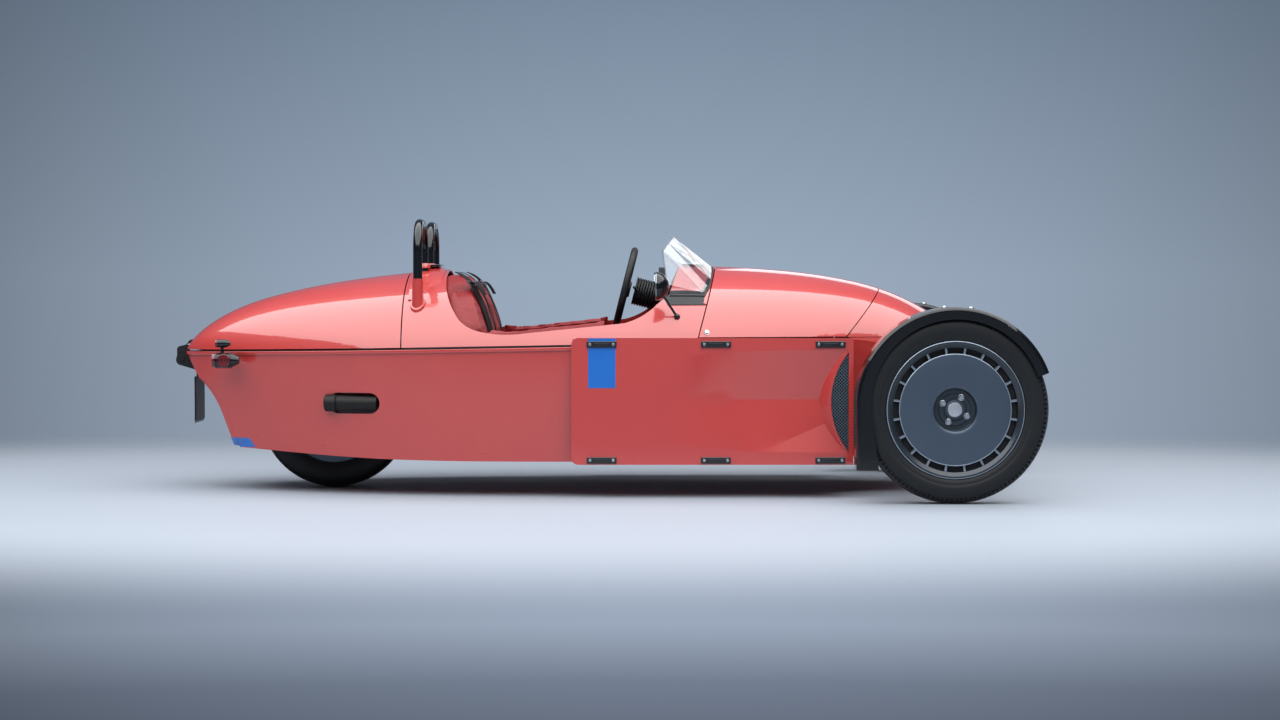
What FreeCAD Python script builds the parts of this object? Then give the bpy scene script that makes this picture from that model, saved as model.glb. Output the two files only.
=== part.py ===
"""Three wheeled open roadster with two seats: two large wheels in front, one small wheel in the tail.

Millimetres. +X is forward, +Y is the car's left and +Z is up. The origin lies on the ground, halfway
along the overall length. Each node in parts/ is one kind of piece; like pieces share a node.
"""

import FreeCAD, Part  # noqa: E401  Part crashes if it is imported before FreeCAD
import math
import os
from collections import namedtuple
from functools import lru_cache

V = FreeCAD.Vector

# ---------------------------------------------------------------- driving dimensions
LENGTH = 3581.0
WIDTH = 1850.0
HEIGHT = 1132.0
WHEELBASE = 2535.0

FRONT_TYRE_R = 371.0
FRONT_TYRE_W = 128.0
FRONT_BEAD_R = 256.0
REAR_TYRE_R = 317.0
REAR_TYRE_W = 190.0
REAR_BEAD_R = 194.0
TYRE_FACETS = 84
SPINDLE_R = 17.0
REAR_AXLE_R = 20.0
RUNNING_FIT = 0.05
BEAD_FIT = 0.4  # rim under the tyre's facets
SPIN_GAP = 6.0  # between a turning piece and what stands beside it

GUARD_HALF_W = 73.0
GUARD_T = 3.0
GUARD_EDGE_R = 16.0
KINGPIN_INSET = 52.0  # kingpin inboard of the wheel's middle plane

HINGE_OVERHANG = 48.5  # the lid's hinge stands behind the tail
TAIL_X = -LENGTH / 2 + HINGE_OVERHANG
FRONT_X = LENGTH / 2 - FRONT_TYRE_R
REAR_X = FRONT_X - WHEELBASE
WHEEL_Y = WIDTH / 2 - GUARD_HALF_W
KINGPIN_Y = WHEEL_Y - KINGPIN_INSET
FRONT_HUB = (FRONT_X, -WHEEL_Y, FRONT_TYRE_R)
REAR_HUB = (REAR_X, 0.0, REAR_TYRE_R)

BELT_Z = 621.0  # height of the body's side seam at x = 0
BELT_SLOPE = 0.0195
SEAL = 5.0  # rubber strip between hull and upper panels
PANEL = 9.0  # lids and cowls, frame included
WALL = 34.0  # double skinned tub side
SHUT = 2.5  # half of a shut line

BOOT_SHUT_X = -790.0
BULKHEAD_X = -668.0  # front face of the wall behind the seats
BULKHEAD_T = 32.0
TOEBOARD_X = 470.0
NOSE_FRONT_X = FRONT_X + 165.5

BLADE_REAR_X = -96.0
BLADE_FRONT_X = FRONT_X - 377.5
BLADE_Y = 618.0  # outer face
BLADE_T = 12.0
BLADE_Z0 = 135.0
BLADE_Z1 = 647.0

TUB_FRONT_X = BLADE_FRONT_X - 4.0
SHELF_Z = BLADE_Z1 - 6.0
SHELF_T = 12.0
BONNET_Z = BLADE_Z1 + 2.0

# Shut lines of the bonnet in side view: x at the low point, x at the high point, and those heights.
ShutLine = namedtuple("ShutLine", "x_low x_high z_low z_high")
BONNET_REAR = ShutLine(417.0, 497.0, 648.0, 935.0)
BONNET_FRONT = ShutLine(FRONT_X - 393.5, FRONT_X - 224.5, 645.0, 847.0)

HOOP_X = BOOT_SHUT_X + 62.0
HOOP_TUBE_R = 19.0
HOOP_LEGS = (150.0, 455.0)
HOOP_BEND_R = 118.0
HUMP_TOP_Z = 936.0
HUMP_HALF_W = 430.0

SEAT_Y = 265.0
TUNNEL_HALF_W = 62.0
TUNNEL_Z = 330.0
FLOOR_Z = 190.0
SCREEN_Y = 252.0
SCREEN_T = 4.0
WHEEL_TILT = 14.2  # degrees that the steering wheel's rim leans forward
STEERING_WHEEL_AT = (120.0, -262.0, 845.0)
HINGE_AT = (TAIL_X - 22.0, 543.0)
HINGE_PIN_R = 8.0
PIPE_Z = 377.0
PIPE_R = 32.5

# The body's sections, tail to nose: half width at the waist, the waist's height where it leaves the
# seam, crown height, half width and height of the floor.
Station = namedtuple("Station", "x half waist crown floor_half floor_z")
STATIONS = [
    Station(TAIL_X, 56, None, 604, 44, 190),
    Station(TAIL_X + 42, 128, None, 652, 96, 190),
    Station(TAIL_X + 162, 235, None, 735, 178, 186),
    Station(TAIL_X + 412, 372, None, 825, 306, 172),
    Station(BOOT_SHUT_X - 110, 525, None, 900, 470, 150),
    Station(-300, 596, None, 942, 552, 143),
    Station(500, 566, None, 938, 522, 143),
    Station(FRONT_X - 419.5, 440, None, 893, 398, 150),
    Station(FRONT_X - 119.5, 352, 590, 806, 306, 185),
    Station(NOSE_FRONT_X, 282, 430, 612, 232, 262),
]
CROWN_ANGLE = math.radians(25)  # span of the flat top arc, from the middle
SHOULDER_ANGLE = math.radians(76)  # where the shoulder arc meets the waist

# Side view of the cockpit's rim, seat back to scuttle: x, height.
Rim = namedtuple("Rim", "x z")
RIM_BACK = [Rim(-626, 902), Rim(-604, 805), Rim(-552, 714), Rim(-512, 686), Rim(-455, 668)]
RIM_SIDE = [Rim(-370, 659), Rim(-283, 665), Rim(115, 705), Rim(190, 735), Rim(250, 781)]
RIM_SCUTTLE = [Rim(300, 820), Rim(356, 965)]


def belt(x):
    return BELT_Z + BELT_SLOPE * x


# ---------------------------------------------------------------- helpers
REACH = 2200.0  # beyond any piece of the car


def box(x0, x1, y0, y1, z0, z1):
    return Part.makeBox(x1 - x0, y1 - y0, z1 - z0, V(x0, y0, z0))


def slab(x0, x1, z0=-100.0, z1=1400.0):
    """A box right across the car."""
    return box(x0, x1, -1000, 1000, z0, z1)


def rod(a, b, r):
    a, b = V(*a), V(*b)
    return Part.makeCylinder(r, (b - a).Length, a, b - a)


def along(axis, start, length, r):
    """A cylinder along a row axis."""
    direction = {"x": V(1, 0, 0), "y": V(0, 1, 0), "z": V(0, 0, 1)}[axis]
    return Part.makeCylinder(r, length, V(*start), direction)


def side_prism(points, y0, y1):
    """Extrudes a side view outline from y0 to y1.

    Points are (x, z); ((x, z), (x, z)) is the middle and the end of an arc.
    """
    lift = lambda p: V(p[0], y0, p[1])
    edges, here = [], lift(points[0])
    for p in points[1:] + [points[0]]:
        if isinstance(p[0], tuple):
            edges.append(Part.Arc(here, lift(p[0]), lift(p[1])).toShape())
            here = lift(p[1])
        elif (lift(p) - here).Length > 1e-6:
            edges.append(Part.makeLine(here, lift(p)))
            here = lift(p)
    return Part.Face(Part.Wire(edges)).extrude(V(0, y1 - y0, 0))


def slot_prism(x0, x1, z, r, y0, y1):
    """A bar across the car with a pill shaped outline, from y0 to y1."""
    outline = [(x0, z - r), (x1, z - r), ((x1 + r, z), (x1, z + r)), (x0, z + r), ((x0 - r, z), (x0, z - r))]
    return side_prism(outline, y0, y1)


def rounded_box(x0, x1, y0, y1, z0, z1, r):
    b = box(x0, x1, y0, y1, z0, z1)
    return b.makeFillet(r, b.Edges)


def mirrored(shape):
    return shape.mirror(V(0, 0, 0), V(0, 1, 0))


def pair(shape):
    return Part.makeCompound([shape, mirrored(shape)])


def fused(shapes):
    return shapes[0].multiFuse(shapes[1:]) if len(shapes) > 1 else shapes[0]


def largest(shape):
    return max(shape.Solids, key=lambda s: s.Volume)


def ring(profile, hub):
    """Turns a profile of (offset along the axle, radius) about a wheel's axle."""
    points = [V(hub[0], hub[1] + w, hub[2] + r) for w, r in profile]
    return Part.Face(Part.makePolygon(points + [points[0]])).revolve(V(*hub), V(0, 1, 0), 360)


def faceted_ring(profile, hub, count):
    """The same, as flat facets: a tyre, whose round form needs no finer surface."""

    def loop(i):
        a = 2 * math.pi * i / count
        pts = [V(hub[0] + r * math.sin(a), hub[1] + w, hub[2] - r * math.cos(a)) for w, r in profile]
        return Part.makePolygon(pts + [pts[0]])

    loops = [loop(i) for i in range(count)]
    return Part.makeLoft(loops + [loops[0]], True, True)


def turned(shape, centre, count, start=0.0):
    """Copies of a shape spaced evenly about an axle."""
    out = []
    for i in range(count):
        copy = shape.copy()
        copy.rotate(V(*centre), V(0, 1, 0), start + i * 360.0 / count)
        out.append(copy)
    return out


# ---------------------------------------------------------------- the body's lofted form
def arch(half, rise):
    """Radii of the crown arc and the shoulder arc of a three centred arch of this half width and rise."""
    a, b = math.sin(CROWN_ANGLE), math.sin(SHOULDER_ANGLE) - math.sin(CROWN_ANGLE)
    c, d = 1 - math.cos(CROWN_ANGLE), math.cos(CROWN_ANGLE) - math.cos(SHOULDER_ANGLE)
    det = a * d - b * c
    return (half * d - b * rise) / det, (a * rise - c * half) / det


def section(s, inset):
    """Closed ring of one body section: floor, side, shoulder arc, crown arc, shoulder arc, side."""
    half, floor_half = s.half - inset, s.floor_half - inset
    waist, floor_z, crown = s.waist or belt(s.x), s.floor_z + inset, s.crown - inset
    crown_r, shoulder_r = arch(half, crown - waist)
    mid = (CROWN_ANGLE + SHOULDER_ANGLE) / 2
    turn_y = crown_r * math.sin(CROWN_ANGLE)
    turn_z = crown - crown_r * (1 - math.cos(CROWN_ANGLE))
    via_y = turn_y + shoulder_r * (math.sin(mid) - math.sin(CROWN_ANGLE))
    via_z = turn_z - shoulder_r * (math.cos(CROWN_ANGLE) - math.cos(mid))
    p = lambda y, z: V(s.x, y, z)
    return Part.Wire(
        [
            Part.makeLine(p(-floor_half, floor_z), p(floor_half, floor_z)),
            Part.makeLine(p(floor_half, floor_z), p(half, waist)),
            Part.Arc(p(half, waist), p(via_y, via_z), p(turn_y, turn_z)).toShape(),
            Part.Arc(p(turn_y, turn_z), p(0, crown), p(-turn_y, turn_z)).toShape(),
            Part.Arc(p(-turn_y, turn_z), p(-via_y, via_z), p(-half, waist)).toShape(),
            Part.makeLine(p(-half, waist), p(-floor_half, floor_z)),
        ]
    )


@lru_cache(maxsize=None)
def body_form(inset=0.0):
    """The whole body as one solid, drawn in by inset. An inset form starts one section in from the tail."""
    stations = STATIONS[1:] if inset > 0 else STATIONS
    return Part.makeLoft([section(s, inset) for s in stations], True, False)


def body_surface(x, z):
    """Half width of the body at this place."""
    probe = Part.makeLine(V(x, 0, z), V(x, 1000, z)).common(body_form())
    return probe.BoundBox.YMax


@lru_cache(maxsize=None)
def panel_shell():
    return body_form().cut(body_form(PANEL))


def above_belt(lift):
    seam = [(-REACH, belt(-REACH) + lift), (REACH, belt(REACH) + lift)]
    return side_prism(seam + [(REACH, 1500), (-REACH, 1500)], -1000, 1000)


def below_belt(lift):
    seam = [(REACH, belt(REACH) + lift), (-REACH, belt(-REACH) + lift)]
    return side_prism([(-REACH, -100), (REACH, -100)] + seam, -1000, 1000)


def shut_x(line, z):
    run = (line.x_high - line.x_low) / (line.z_high - line.z_low)
    return line.x_low + run * (z - line.z_low)


def behind(line, gap, low=400.0, high=1300.0):
    """Region behind a shut line, gap back from it."""
    low_x, high_x = shut_x(line, low) - gap, shut_x(line, high) - gap
    outline = [(-REACH, low), (low_x, low), (high_x, high), (-REACH, high)]
    return side_prism(outline, -1000, 1000)


def ahead(line, gap, foot):
    """Region ahead of a shut line, gap forward of it; below foot it is upright."""
    low, high = shut_x(line, foot) + gap, shut_x(line, 1300) + gap
    return side_prism([(low, -100), (low, foot), (high, 1300), (REACH, 1300), (REACH, -100)], -1000, 1000)


# Side view of the tail under the lid: where the transom's middle ends, and where the side panels do.
TransomLine = namedtuple("TransomLine", "knee bow low foot")
TRANSOM = TransomLine((TAIL_X + 66, 467), (TAIL_X + 138, 386), (TAIL_X + 169, 326), (TAIL_X + 225, 181))
SIDE_END = TransomLine((TAIL_X + 66, 467), (TAIL_X + 160, 393), (TAIL_X + 186, 347), (TAIL_X + 250, 181))


def tail_cut(line=TRANSOM):
    """What lies behind the transom's middle, or behind the ends of the side panels."""
    outline = [(-REACH, 620), (TAIL_X, 575), line.knee, (line.bow, line.low), line.foot]
    outline += [(line.foot[0], 100), (-REACH, 100)]
    return side_prism(outline, -900, 900)


def transom():
    """The panel that closes the tail under its lip, a little proud of the side panels' ends."""
    inner = tail_cut(SIDE_END)
    inner.translate(V(14, 0, 0))
    return body_form(6).common(inner).cut(tail_cut()).common(slab(-REACH, 0, 150, 480))


def cockpit_cut(drop=0.0):
    """Everything above the cockpit's rim, lowered by drop."""
    at = lambda r: (r.x, r.z - drop)
    b, s, f = RIM_BACK, RIM_SIDE, RIM_SCUTTLE
    outline = [(b[0].x - 2, 1300), at(b[0]), (at(b[1]), at(b[2])), (at(b[3]), at(b[4]))]
    outline += [(at(s[0]), at(s[1])), at(s[2])]
    outline += [(at(s[3]), at(s[4])), at(f[0]), at(f[1]), (f[1].x, 1300)]
    return side_prism(outline, -1000, 1000)


# ---------------------------------------------------------------- hull and panels
WELL_X0 = REAR_X - REAR_TYRE_R - 35.0
WELL_X1 = REAR_X + REAR_TYRE_R + 68.0
WELL_Y = REAR_TYRE_W / 2 + 75.0
WELL_Z = 676.0
WELL_T = 14.0


def hull_tub():
    """The lower body: sides and floor, bulkheads, the rear wheel's housing and the exhaust recesses."""
    whole = body_form().common(below_belt(-SEAL)).common(slab(-REACH, TUB_FRONT_X))
    tub = whole.cut(body_form(WALL))
    lining = body_form(WALL - 6).common(slab(WELL_X0 - WELL_T, TOEBOARD_X + 24, 0, WELL_Z + WELL_T))
    housing = box(WELL_X0 - WELL_T, WELL_X1 + WELL_T, -WELL_Y - WELL_T, WELL_Y + WELL_T, 0, WELL_Z + WELL_T)
    seat_wall = slab(BULKHEAD_X - BULKHEAD_T, BULKHEAD_X).common(below_belt(-SEAL))
    toe_wall = slab(TOEBOARD_X, TOEBOARD_X + 24).common(below_belt(-SEAL))
    liner = slot_prism(-1061, -918, PIPE_Z, 48, 366, 520)
    walls = [lining.common(s) for s in (housing, seat_wall, toe_wall, liner, mirrored(liner))]
    tub = fused([tub] + walls)
    recess = slot_prism(-1055, -924, PIPE_Z, 43, 372, 700)
    well = box(WELL_X0, WELL_X1, -WELL_Y, WELL_Y, 0, WELL_Z)
    tub = tub.cut(fused([recess, mirrored(recess), well])).cut(tail_cut(SIDE_END))
    return tub.fuse(transom())


def side_shelves():
    """Upper and lower shelves that carry the blades and close the air ducts."""
    reach = BLADE_Y - BLADE_T - 2
    x0, x1 = BLADE_REAR_X + 6, BLADE_FRONT_X - 6
    wings = [box(x0, x1, -reach, -250, z, z + SHELF_T) for z in (SHELF_Z - SHELF_T, BLADE_Z0 + 6)]
    return pair(Part.makeCompound([largest(w.cut(body_form(-0.5))) for w in wings]))


def boot_lid():
    return panel_shell().common(above_belt(0)).common(slab(-REACH, BOOT_SHUT_X - SHUT))


def fairing():
    """The low hump between the roll hoops' outer legs, blended into the cowl on every side."""
    front = Part.Wire(
        [
            Part.Arc(V(-900, -HUMP_HALF_W, 800), V(-900, 0, HUMP_TOP_Z), V(-900, HUMP_HALF_W, 800)).toShape(),
            Part.makeLine(V(-900, HUMP_HALF_W, 800), V(-900, -HUMP_HALF_W, 800)),
        ]
    )
    x0, x1, z = HOOP_X - 36, HOOP_X + 84, HUMP_TOP_Z
    outline = [(x0 - 8, 780), (x0 - 4, 880), ((x0 + 8, z - 12), (x0 + 28, z)), (x1 - 26, z)]
    outline += [((x1 - 6, z - 12), (x1, z - 50)), (x1 + 4, 780)]
    return Part.Face(front).extrude(V(400, 0, 0)).common(side_prism(outline, -600, 600)).cut(body_form(PANEL))


@lru_cache(maxsize=None)
def upper_cowl():
    """The panel round the cockpit, from the boot's shut line to the bonnet's."""
    cowl = panel_shell().common(above_belt(0)).common(behind(BONNET_REAR, SHUT))
    cowl = cowl.common(slab(BOOT_SHUT_X + SHUT, 700))
    under_shelf = slab(BLADE_REAR_X + 8, REACH, 0, SHELF_Z + 1)
    return cowl.cut(cockpit_cut()).fuse(fairing()).cut(under_shelf)


def bonnet():
    region = slab(0, REACH, BONNET_Z).cut(behind(BONNET_REAR, -SHUT))
    region = region.cut(ahead(BONNET_FRONT, -SHUT, BONNET_Z))
    return panel_shell().common(region)


def nose_end():
    """What the sloping grille opening leaves away from the nose."""
    top, foot = NOSE_FRONT_X - 115, NOSE_FRONT_X + 7
    return side_prism([(top, 1300), (top, 765), (foot, 230), (foot, 0), (REACH, 0), (REACH, 1300)], -900, 900)


def arm_windows():
    """Openings in the nose's sides that the front suspension passes through."""
    window = box(FRONT_X - 180, FRONT_X + 140, 150, 900, 205, 540)
    return window.fuse(mirrored(window))


def nose_cowl():
    region = ahead(BONNET_FRONT, SHUT, BONNET_Z).common(slab(0, REACH, BLADE_Z1))
    return panel_shell().common(region).cut(nose_end())


def nose_sides():
    region = slab(TUB_FRONT_X + 2 * SHUT, REACH, 0, BLADE_Z1 - SHUT)
    return panel_shell().common(region).cut(nose_end()).cut(arm_windows())


def nose_grille():
    """Slats across the nose's opening, carried by two uprights."""
    slats = []
    for k in range(10):
        z = 290 + 34 * k
        x = NOSE_FRONT_X + 7 - (z - 230) / (765 - 230) * 122 - 22
        slats.append(box(x - 12, x + 6, -400, 400, z - 3, z + 3))
    foot, head = (NOSE_FRONT_X - 21, 280), (NOSE_FRONT_X - 96, 610)
    for y in (-80, 74):
        slats.append(side_prism([foot, (foot[0] + 8, 280), (head[0] + 8, 610), head], y, y + 6))
    return fused(slats).common(body_form(PANEL + 2))


def belt_seal():
    """Rubber in the seam under the fixed cowl."""
    strip = body_form(2.5).cut(body_form(20)).common(above_belt(-SEAL)).cut(above_belt(0))
    return strip.common(slab(BOOT_SHUT_X + SHUT, BLADE_REAR_X + 4))


# ---------------------------------------------------------------- side blades
LENS_X = (BLADE_FRONT_X - 90, BLADE_FRONT_X - 19)  # rear and front limits of the intake in side view
LENS_Z = (186.0, 398.0, 590.0)


def intake_outline():
    return [(LENS_X[1], LENS_Z[0]), ((LENS_X[0], LENS_Z[1]), (LENS_X[1], LENS_Z[2]))]


# Sections of a blade's swelling, rear to front: x, how far its crease stands out, and the height and
# reach of the fold below it, which rises from the lower band.
Rib = namedtuple("Rib", "x crease fold_z fold")
RIBS = [
    Rib(BLADE_FRONT_X - 902, -2.0, 200, -2.0),
    Rib(BLADE_FRONT_X - 722, 5.0, 200, -1.3),
    Rib(BLADE_FRONT_X - 562, 15.3, 200, -0.5),
    Rib(BLADE_FRONT_X - 397, 25.1, 196, 0.6),
    Rib(BLADE_FRONT_X - 252, 33.3, 241, 15.4),
    Rib(BLADE_FRONT_X - 109, 41.4, 303, 30.6),
    Rib(BLADE_FRONT_X - 19, 46.5, 342, 40.2),
]
CREASE_Z = 398.0
SWELL_Z = (178.0, 610.0)


def swelling(inset):
    """The blade's swollen middle: an upper and a lower facet that meet in a level crease."""
    wires = []
    for r in RIBS:
        p = lambda out, z: V(r.x, -BLADE_Y - out, z)
        low, high = SWELL_Z[0] + inset, SWELL_Z[1] - inset
        corners = [p(-2 - inset, high), p(r.crease - inset, CREASE_Z), p(r.fold - inset, r.fold_z)]
        corners += [p(-2 - inset, low), p(-BLADE_T, low), p(-BLADE_T, high)]
        wires.append(Part.makePolygon(corners + corners[:1]))
    return Part.makeLoft(wires, True, False)


def mouth_funnel(back):
    """The hollow ahead of the swelling's lip, which narrows inward to the lens."""
    wires = []
    outer = (62, BLADE_FRONT_X - 57, BLADE_FRONT_X - 156, 166, 622)
    inner = (-BLADE_T - 1, LENS_X[1], LENS_X[0], LENS_Z[0], LENS_Z[2])
    for out, top_x, mid_x, z0, z1 in (outer, inner):
        p = lambda x, z: V(x - back, -BLADE_Y - out, z)
        edge = Part.Arc(p(top_x, z0), p(mid_x, (z0 + z1) / 2), p(top_x, z1)).toShape()
        corners = [p(top_x, z1), p(BLADE_FRONT_X + 60, z1), p(BLADE_FRONT_X + 60, z0), p(top_x, z0)]
        wires.append(Part.Wire([edge] + Part.makePolygon(corners).Edges))
    return Part.makeLoft(wires, True, True).common(slab(0, 2000))


def side_blades():
    """Side panels that swell forward to a lip, behind which a lens shaped mouth takes in air."""
    x0, x1, z0, z1, r = BLADE_REAR_X, BLADE_FRONT_X, BLADE_Z0, BLADE_Z1, 28.0
    q = r * (1 - math.cos(math.radians(45)))
    outline = [(x0 + r, z0), (x1, z0), (x1, z1), (x0 + r, z1), ((x0 + q, z1 - q), (x0, z1 - r))]
    outline += [(x0, z0 + r), ((x0 + q, z0 + q), (x0 + r, z0))]
    panel = side_prism(outline, -BLADE_Y, -BLADE_Y + BLADE_T)
    outside = box(-500, 1500, -900, -BLADE_Y, 0, 900)
    horn = swelling(0).cut(mouth_funnel(0).common(outside))
    hollow = swelling(8).cut(mouth_funnel(10)).cut(box(LENS_X[0] - 12, 1500, -900, 0, 0, 900))
    lens = side_prism(intake_outline(), -BLADE_Y - 200, -BLADE_Y + BLADE_T)
    return pair(largest(panel.fuse(horn).cut(hollow).cut(lens)))


def intake_mesh():
    return pair(side_prism(intake_outline(), -BLADE_Y + 4, -BLADE_Y + 7))


def blade_clips():
    """Three clips along each long edge of a blade."""
    size_x, size_z, thick = 120.0, 26.0, 7.0
    clips = []
    for z in (BLADE_Z1 - 26, BLADE_Z0 + 18):
        for x in (BLADE_REAR_X + 122, BLADE_REAR_X + 583, BLADE_REAR_X + 1045):
            clip = box(x - size_x / 2, x + size_x / 2, -BLADE_Y - thick, -BLADE_Y, z - size_z / 2, z + size_z / 2)
            front = [e for e in clip.Edges if e.BoundBox.YMax < -BLADE_Y - thick + 0.01]
            clips.append(clip.makeFillet(3, front))
    return pair(Part.makeCompound(clips))


# ---------------------------------------------------------------- structure under the nose
FRAME_X = (FRONT_X - 270, FRONT_X + 45)
FRAME_Y = 185.0
FRAME_Z = (205.0, 545.0)
ARM_Z = (FRONT_TYRE_R - 105, FRONT_TYRE_R + 105)
RACK_AT = (FRONT_X - 120, FRONT_TYRE_R - 11)
RACK_R = 12.0


def front_frame():
    """The cast frame that carries both front corners, with lightening holes, and its mounting flange."""
    x0, x1 = FRAME_X
    z0, z1 = FRAME_Z
    frame = rounded_box(x0, x1, -FRAME_Y, FRAME_Y, z0, z1, 25)
    frame = frame.cut(box(x0 + 50, x1 + 100, -FRAME_Y + 35, FRAME_Y - 35, z0 + 35, z1 - 35))
    frame = frame.cut(box(x0 - 50, x0 + 100, -110, 110, z0 + 65, z1 - 65))
    flange = box(TUB_FRONT_X + 4, x0 + 10, -260, 260, z0 + 9, z1 + 15)
    flange = flange.cut(box(0, x0 + 30, -225, 225, z0 + 45, z1 - 15))
    holes = [along("y", (x0 + 190 + k * 85, -300, (z0 + z1) / 2 + 60), 600, 28) for k in range(2)]
    rack_way = along("y", (RACK_AT[0], -300, RACK_AT[1]), 600, RACK_R + 7)
    return frame.fuse(flange).cut(fused(holes + [rack_way])).common(body_form(PANEL + 3))


def power_train():
    """Engine as one plain block, and the bevel box ahead of the rear wheel as another."""
    engine = box(560, FRONT_X - 409.5, -190, 190, FRAME_Z[0], 590)
    bevel = rounded_box(-630, -484, -100, 100, FLOOR_Z + 1, 360, 20)
    return Part.makeCompound([engine, bevel])


def front_suspension():
    """Upper and lower wishbones with their kingpin ends, and a damper, on each side."""
    pieces = []
    inboard = box(0, REACH, -FRAME_Y, FRAME_Y, 0, 900)
    for z, r, eye_r, eye_z in ((ARM_Z[0], 14, 21, ARM_Z[0] - 12), (ARM_Z[1], 12, 19, ARM_Z[1] - 11)):
        tip = (FRONT_X, -KINGPIN_Y - 4, z)
        legs = [rod(tip, (x, -FRAME_Y + 5, z), r) for x in (FRONT_X - 189.5, FRONT_X + 50.5)]
        eye = along("z", (FRONT_X, -KINGPIN_Y, eye_z), 23, eye_r)
        pieces.append(fused(legs + [eye]).cut(inboard))
    foot, head = V(FRONT_X - 70, -576, 287), V(FRONT_X - 68, -205, 594)
    run = head - foot
    body = rod(foot + run * 0.1, foot + run * 0.85, 26)
    pieces.append(body.fuse(rod(foot, head, 9)))
    return pair(Part.makeCompound(pieces))


# ---------------------------------------------------------------- steered corners, made for the right
def guard_outline(inset):
    """Side view of a mudguard: crown arc down to a straight tail, and the lower edge of its flange."""
    tip = math.radians(22)
    s, c = math.sin(tip), math.cos(tip)
    r_tip, r_top, r_back, flange = FRONT_TYRE_R + 23, FRONT_TYRE_R + 33, FRONT_TYRE_R + 19, 48.0
    grow = 40.0 if inset else 0.0
    over = 20.0 if inset else 0.0
    z_end = FRONT_TYRE_R - 236 - over
    polar = lambda r: (FRONT_X + r * c, FRONT_TYRE_R + r * s)
    a, a2 = polar(r_tip - inset), polar(r_tip - flange - grow)
    back, back2 = FRONT_X - r_back + inset, FRONT_X - r_back + 58 + grow
    outline = [(back, z_end), (back, FRONT_TYRE_R), ((FRONT_X, FRONT_TYRE_R + r_top - inset), a)]
    if inset:
        outline += [(a[0] + over * s, a[1] - over * c), (a2[0] + over * s, a2[1] - over * c)]
    inner_top = (FRONT_X, FRONT_TYRE_R + r_top - flange - grow)
    outline += [a2, (inner_top, (back2, FRONT_TYRE_R)), (back2 + 30 + grow, z_end)]
    return outline


def rounded_crown(solid, r):
    """Rounds the long outer edges of a mudguard's side prism."""
    top = 2 * FRONT_TYRE_R + 20
    back = FRONT_X - FRONT_TYRE_R - 19 + GUARD_T + 0.5
    flat = [e for e in solid.Edges if e.BoundBox.YLength < 1e-3]
    edges = [e for e in flat if e.BoundBox.ZMax > top or e.BoundBox.XMax < back]
    return solid.makeFillet(r, edges)


@lru_cache(maxsize=None)
def guard():
    outer_y, inner_y = -WHEEL_Y - GUARD_HALF_W, -WHEEL_Y + GUARD_HALF_W
    outer = rounded_crown(side_prism(guard_outline(0), outer_y, inner_y), GUARD_EDGE_R)
    inner = side_prism(guard_outline(GUARD_T), outer_y + GUARD_T, inner_y - GUARD_T)
    return outer.cut(rounded_crown(inner, GUARD_EDGE_R - GUARD_T))


@lru_cache(maxsize=None)
def upright():
    """Wheel carrier with its steering arm and caliper, and the stays that hold the mudguard."""
    x, y, z = FRONT_HUB
    kin = -KINGPIN_Y
    carrier = along("y", (x, y + 16, z), 40, 50)
    post = rounded_box(x - 26, x + 26, kin - 16, kin + 16, ARM_Z[0] + 17, ARM_Z[1] - 17, 6)
    arm = box(x - 130, x - 10, kin - 12, kin + 12, z - 41, z - 25)
    caliper = ring([(6, 116), (44, 116), (44, 166), (6, 166)], FRONT_HUB)
    caliper = caliper.common(box(x - 190, x - 50, y, y + 60, z - 65, z + 65))
    caliper = caliper.cut(ring([(16, 90), (36, 90), (36, 157), (16, 157)], FRONT_HUB))
    bracket = box(x - 130, x - 40, y + 36, y + 44, z - 30, z + 30)
    side = y + GUARD_HALF_W
    post = box(x - 12, x + 12, kin + 14, kin + 42, z - 81, z + 32)
    stays = [post, box(x - 100, x + 100, kin + 22, kin + 42, z + 8, z + 32)]
    for x0, z0, dx, dz in ((-90, 20, -150, 352), (90, 20, 160, 345), (0, -71, -345, -41)):
        stays.append(rod((x + x0, kin + 34, z + z0), (x + dx, side + 12, z + dz), 8))
        stays.append(along("y", (x + dx, side, z + dz), 20, 11))
    body = fused([carrier, post, arm, caliper, bracket] + stays)
    return body.cut(along("y", (x, y, z), 200, SPINDLE_R + RUNNING_FIT))


def front_tyre():
    bead, w, r = FRONT_TYRE_W / 2 - 16, FRONT_TYRE_W / 2, FRONT_TYRE_R
    half = [(bead, FRONT_BEAD_R), (bead, FRONT_BEAD_R + 20), (w, FRONT_BEAD_R + 48)]
    half += [(w - 4, r - 26), (w - 26, r - 5)]
    profile = half + [(0, r)] + [(-a, b) for a, b in reversed(half)]
    return faceted_ring(profile, FRONT_HUB, TYRE_FACETS)


def front_rim():
    """Barrel, flat disc, a ring of slots bridged by ribs, recessed centre and spindle."""
    x, y, z = FRONT_HUB
    seat, lip = FRONT_BEAD_R - BEAD_FIT, FRONT_BEAD_R + 15.5
    barrel = [(-54, lip), (-54, 240), (-44, 240), (-44, 246), (46, 246), (52, 256), (52, 264), (48.2, lip)]
    barrel += [(48.2, seat), (-48.2, seat), (-48.2, lip)]
    disc = [(-42, 81), (-42, 219), (-34, 219), (-34, 75), (-8, 75), (-8, 0), (-18, 0), (-18, 81)]
    rib = box(x - 4, x + 4, y - 42, y - 22, z + 214, z + 248)
    boss = along("y", (x, y - 34, z), 20, 34)
    spindle = along("y", (x, y - 8, z), 66, SPINDLE_R)
    ribs = turned(rib, FRONT_HUB, 20, 9.0)
    return fused([ring(barrel, FRONT_HUB), ring(disc, FRONT_HUB), boss, spindle] + ribs)


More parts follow.
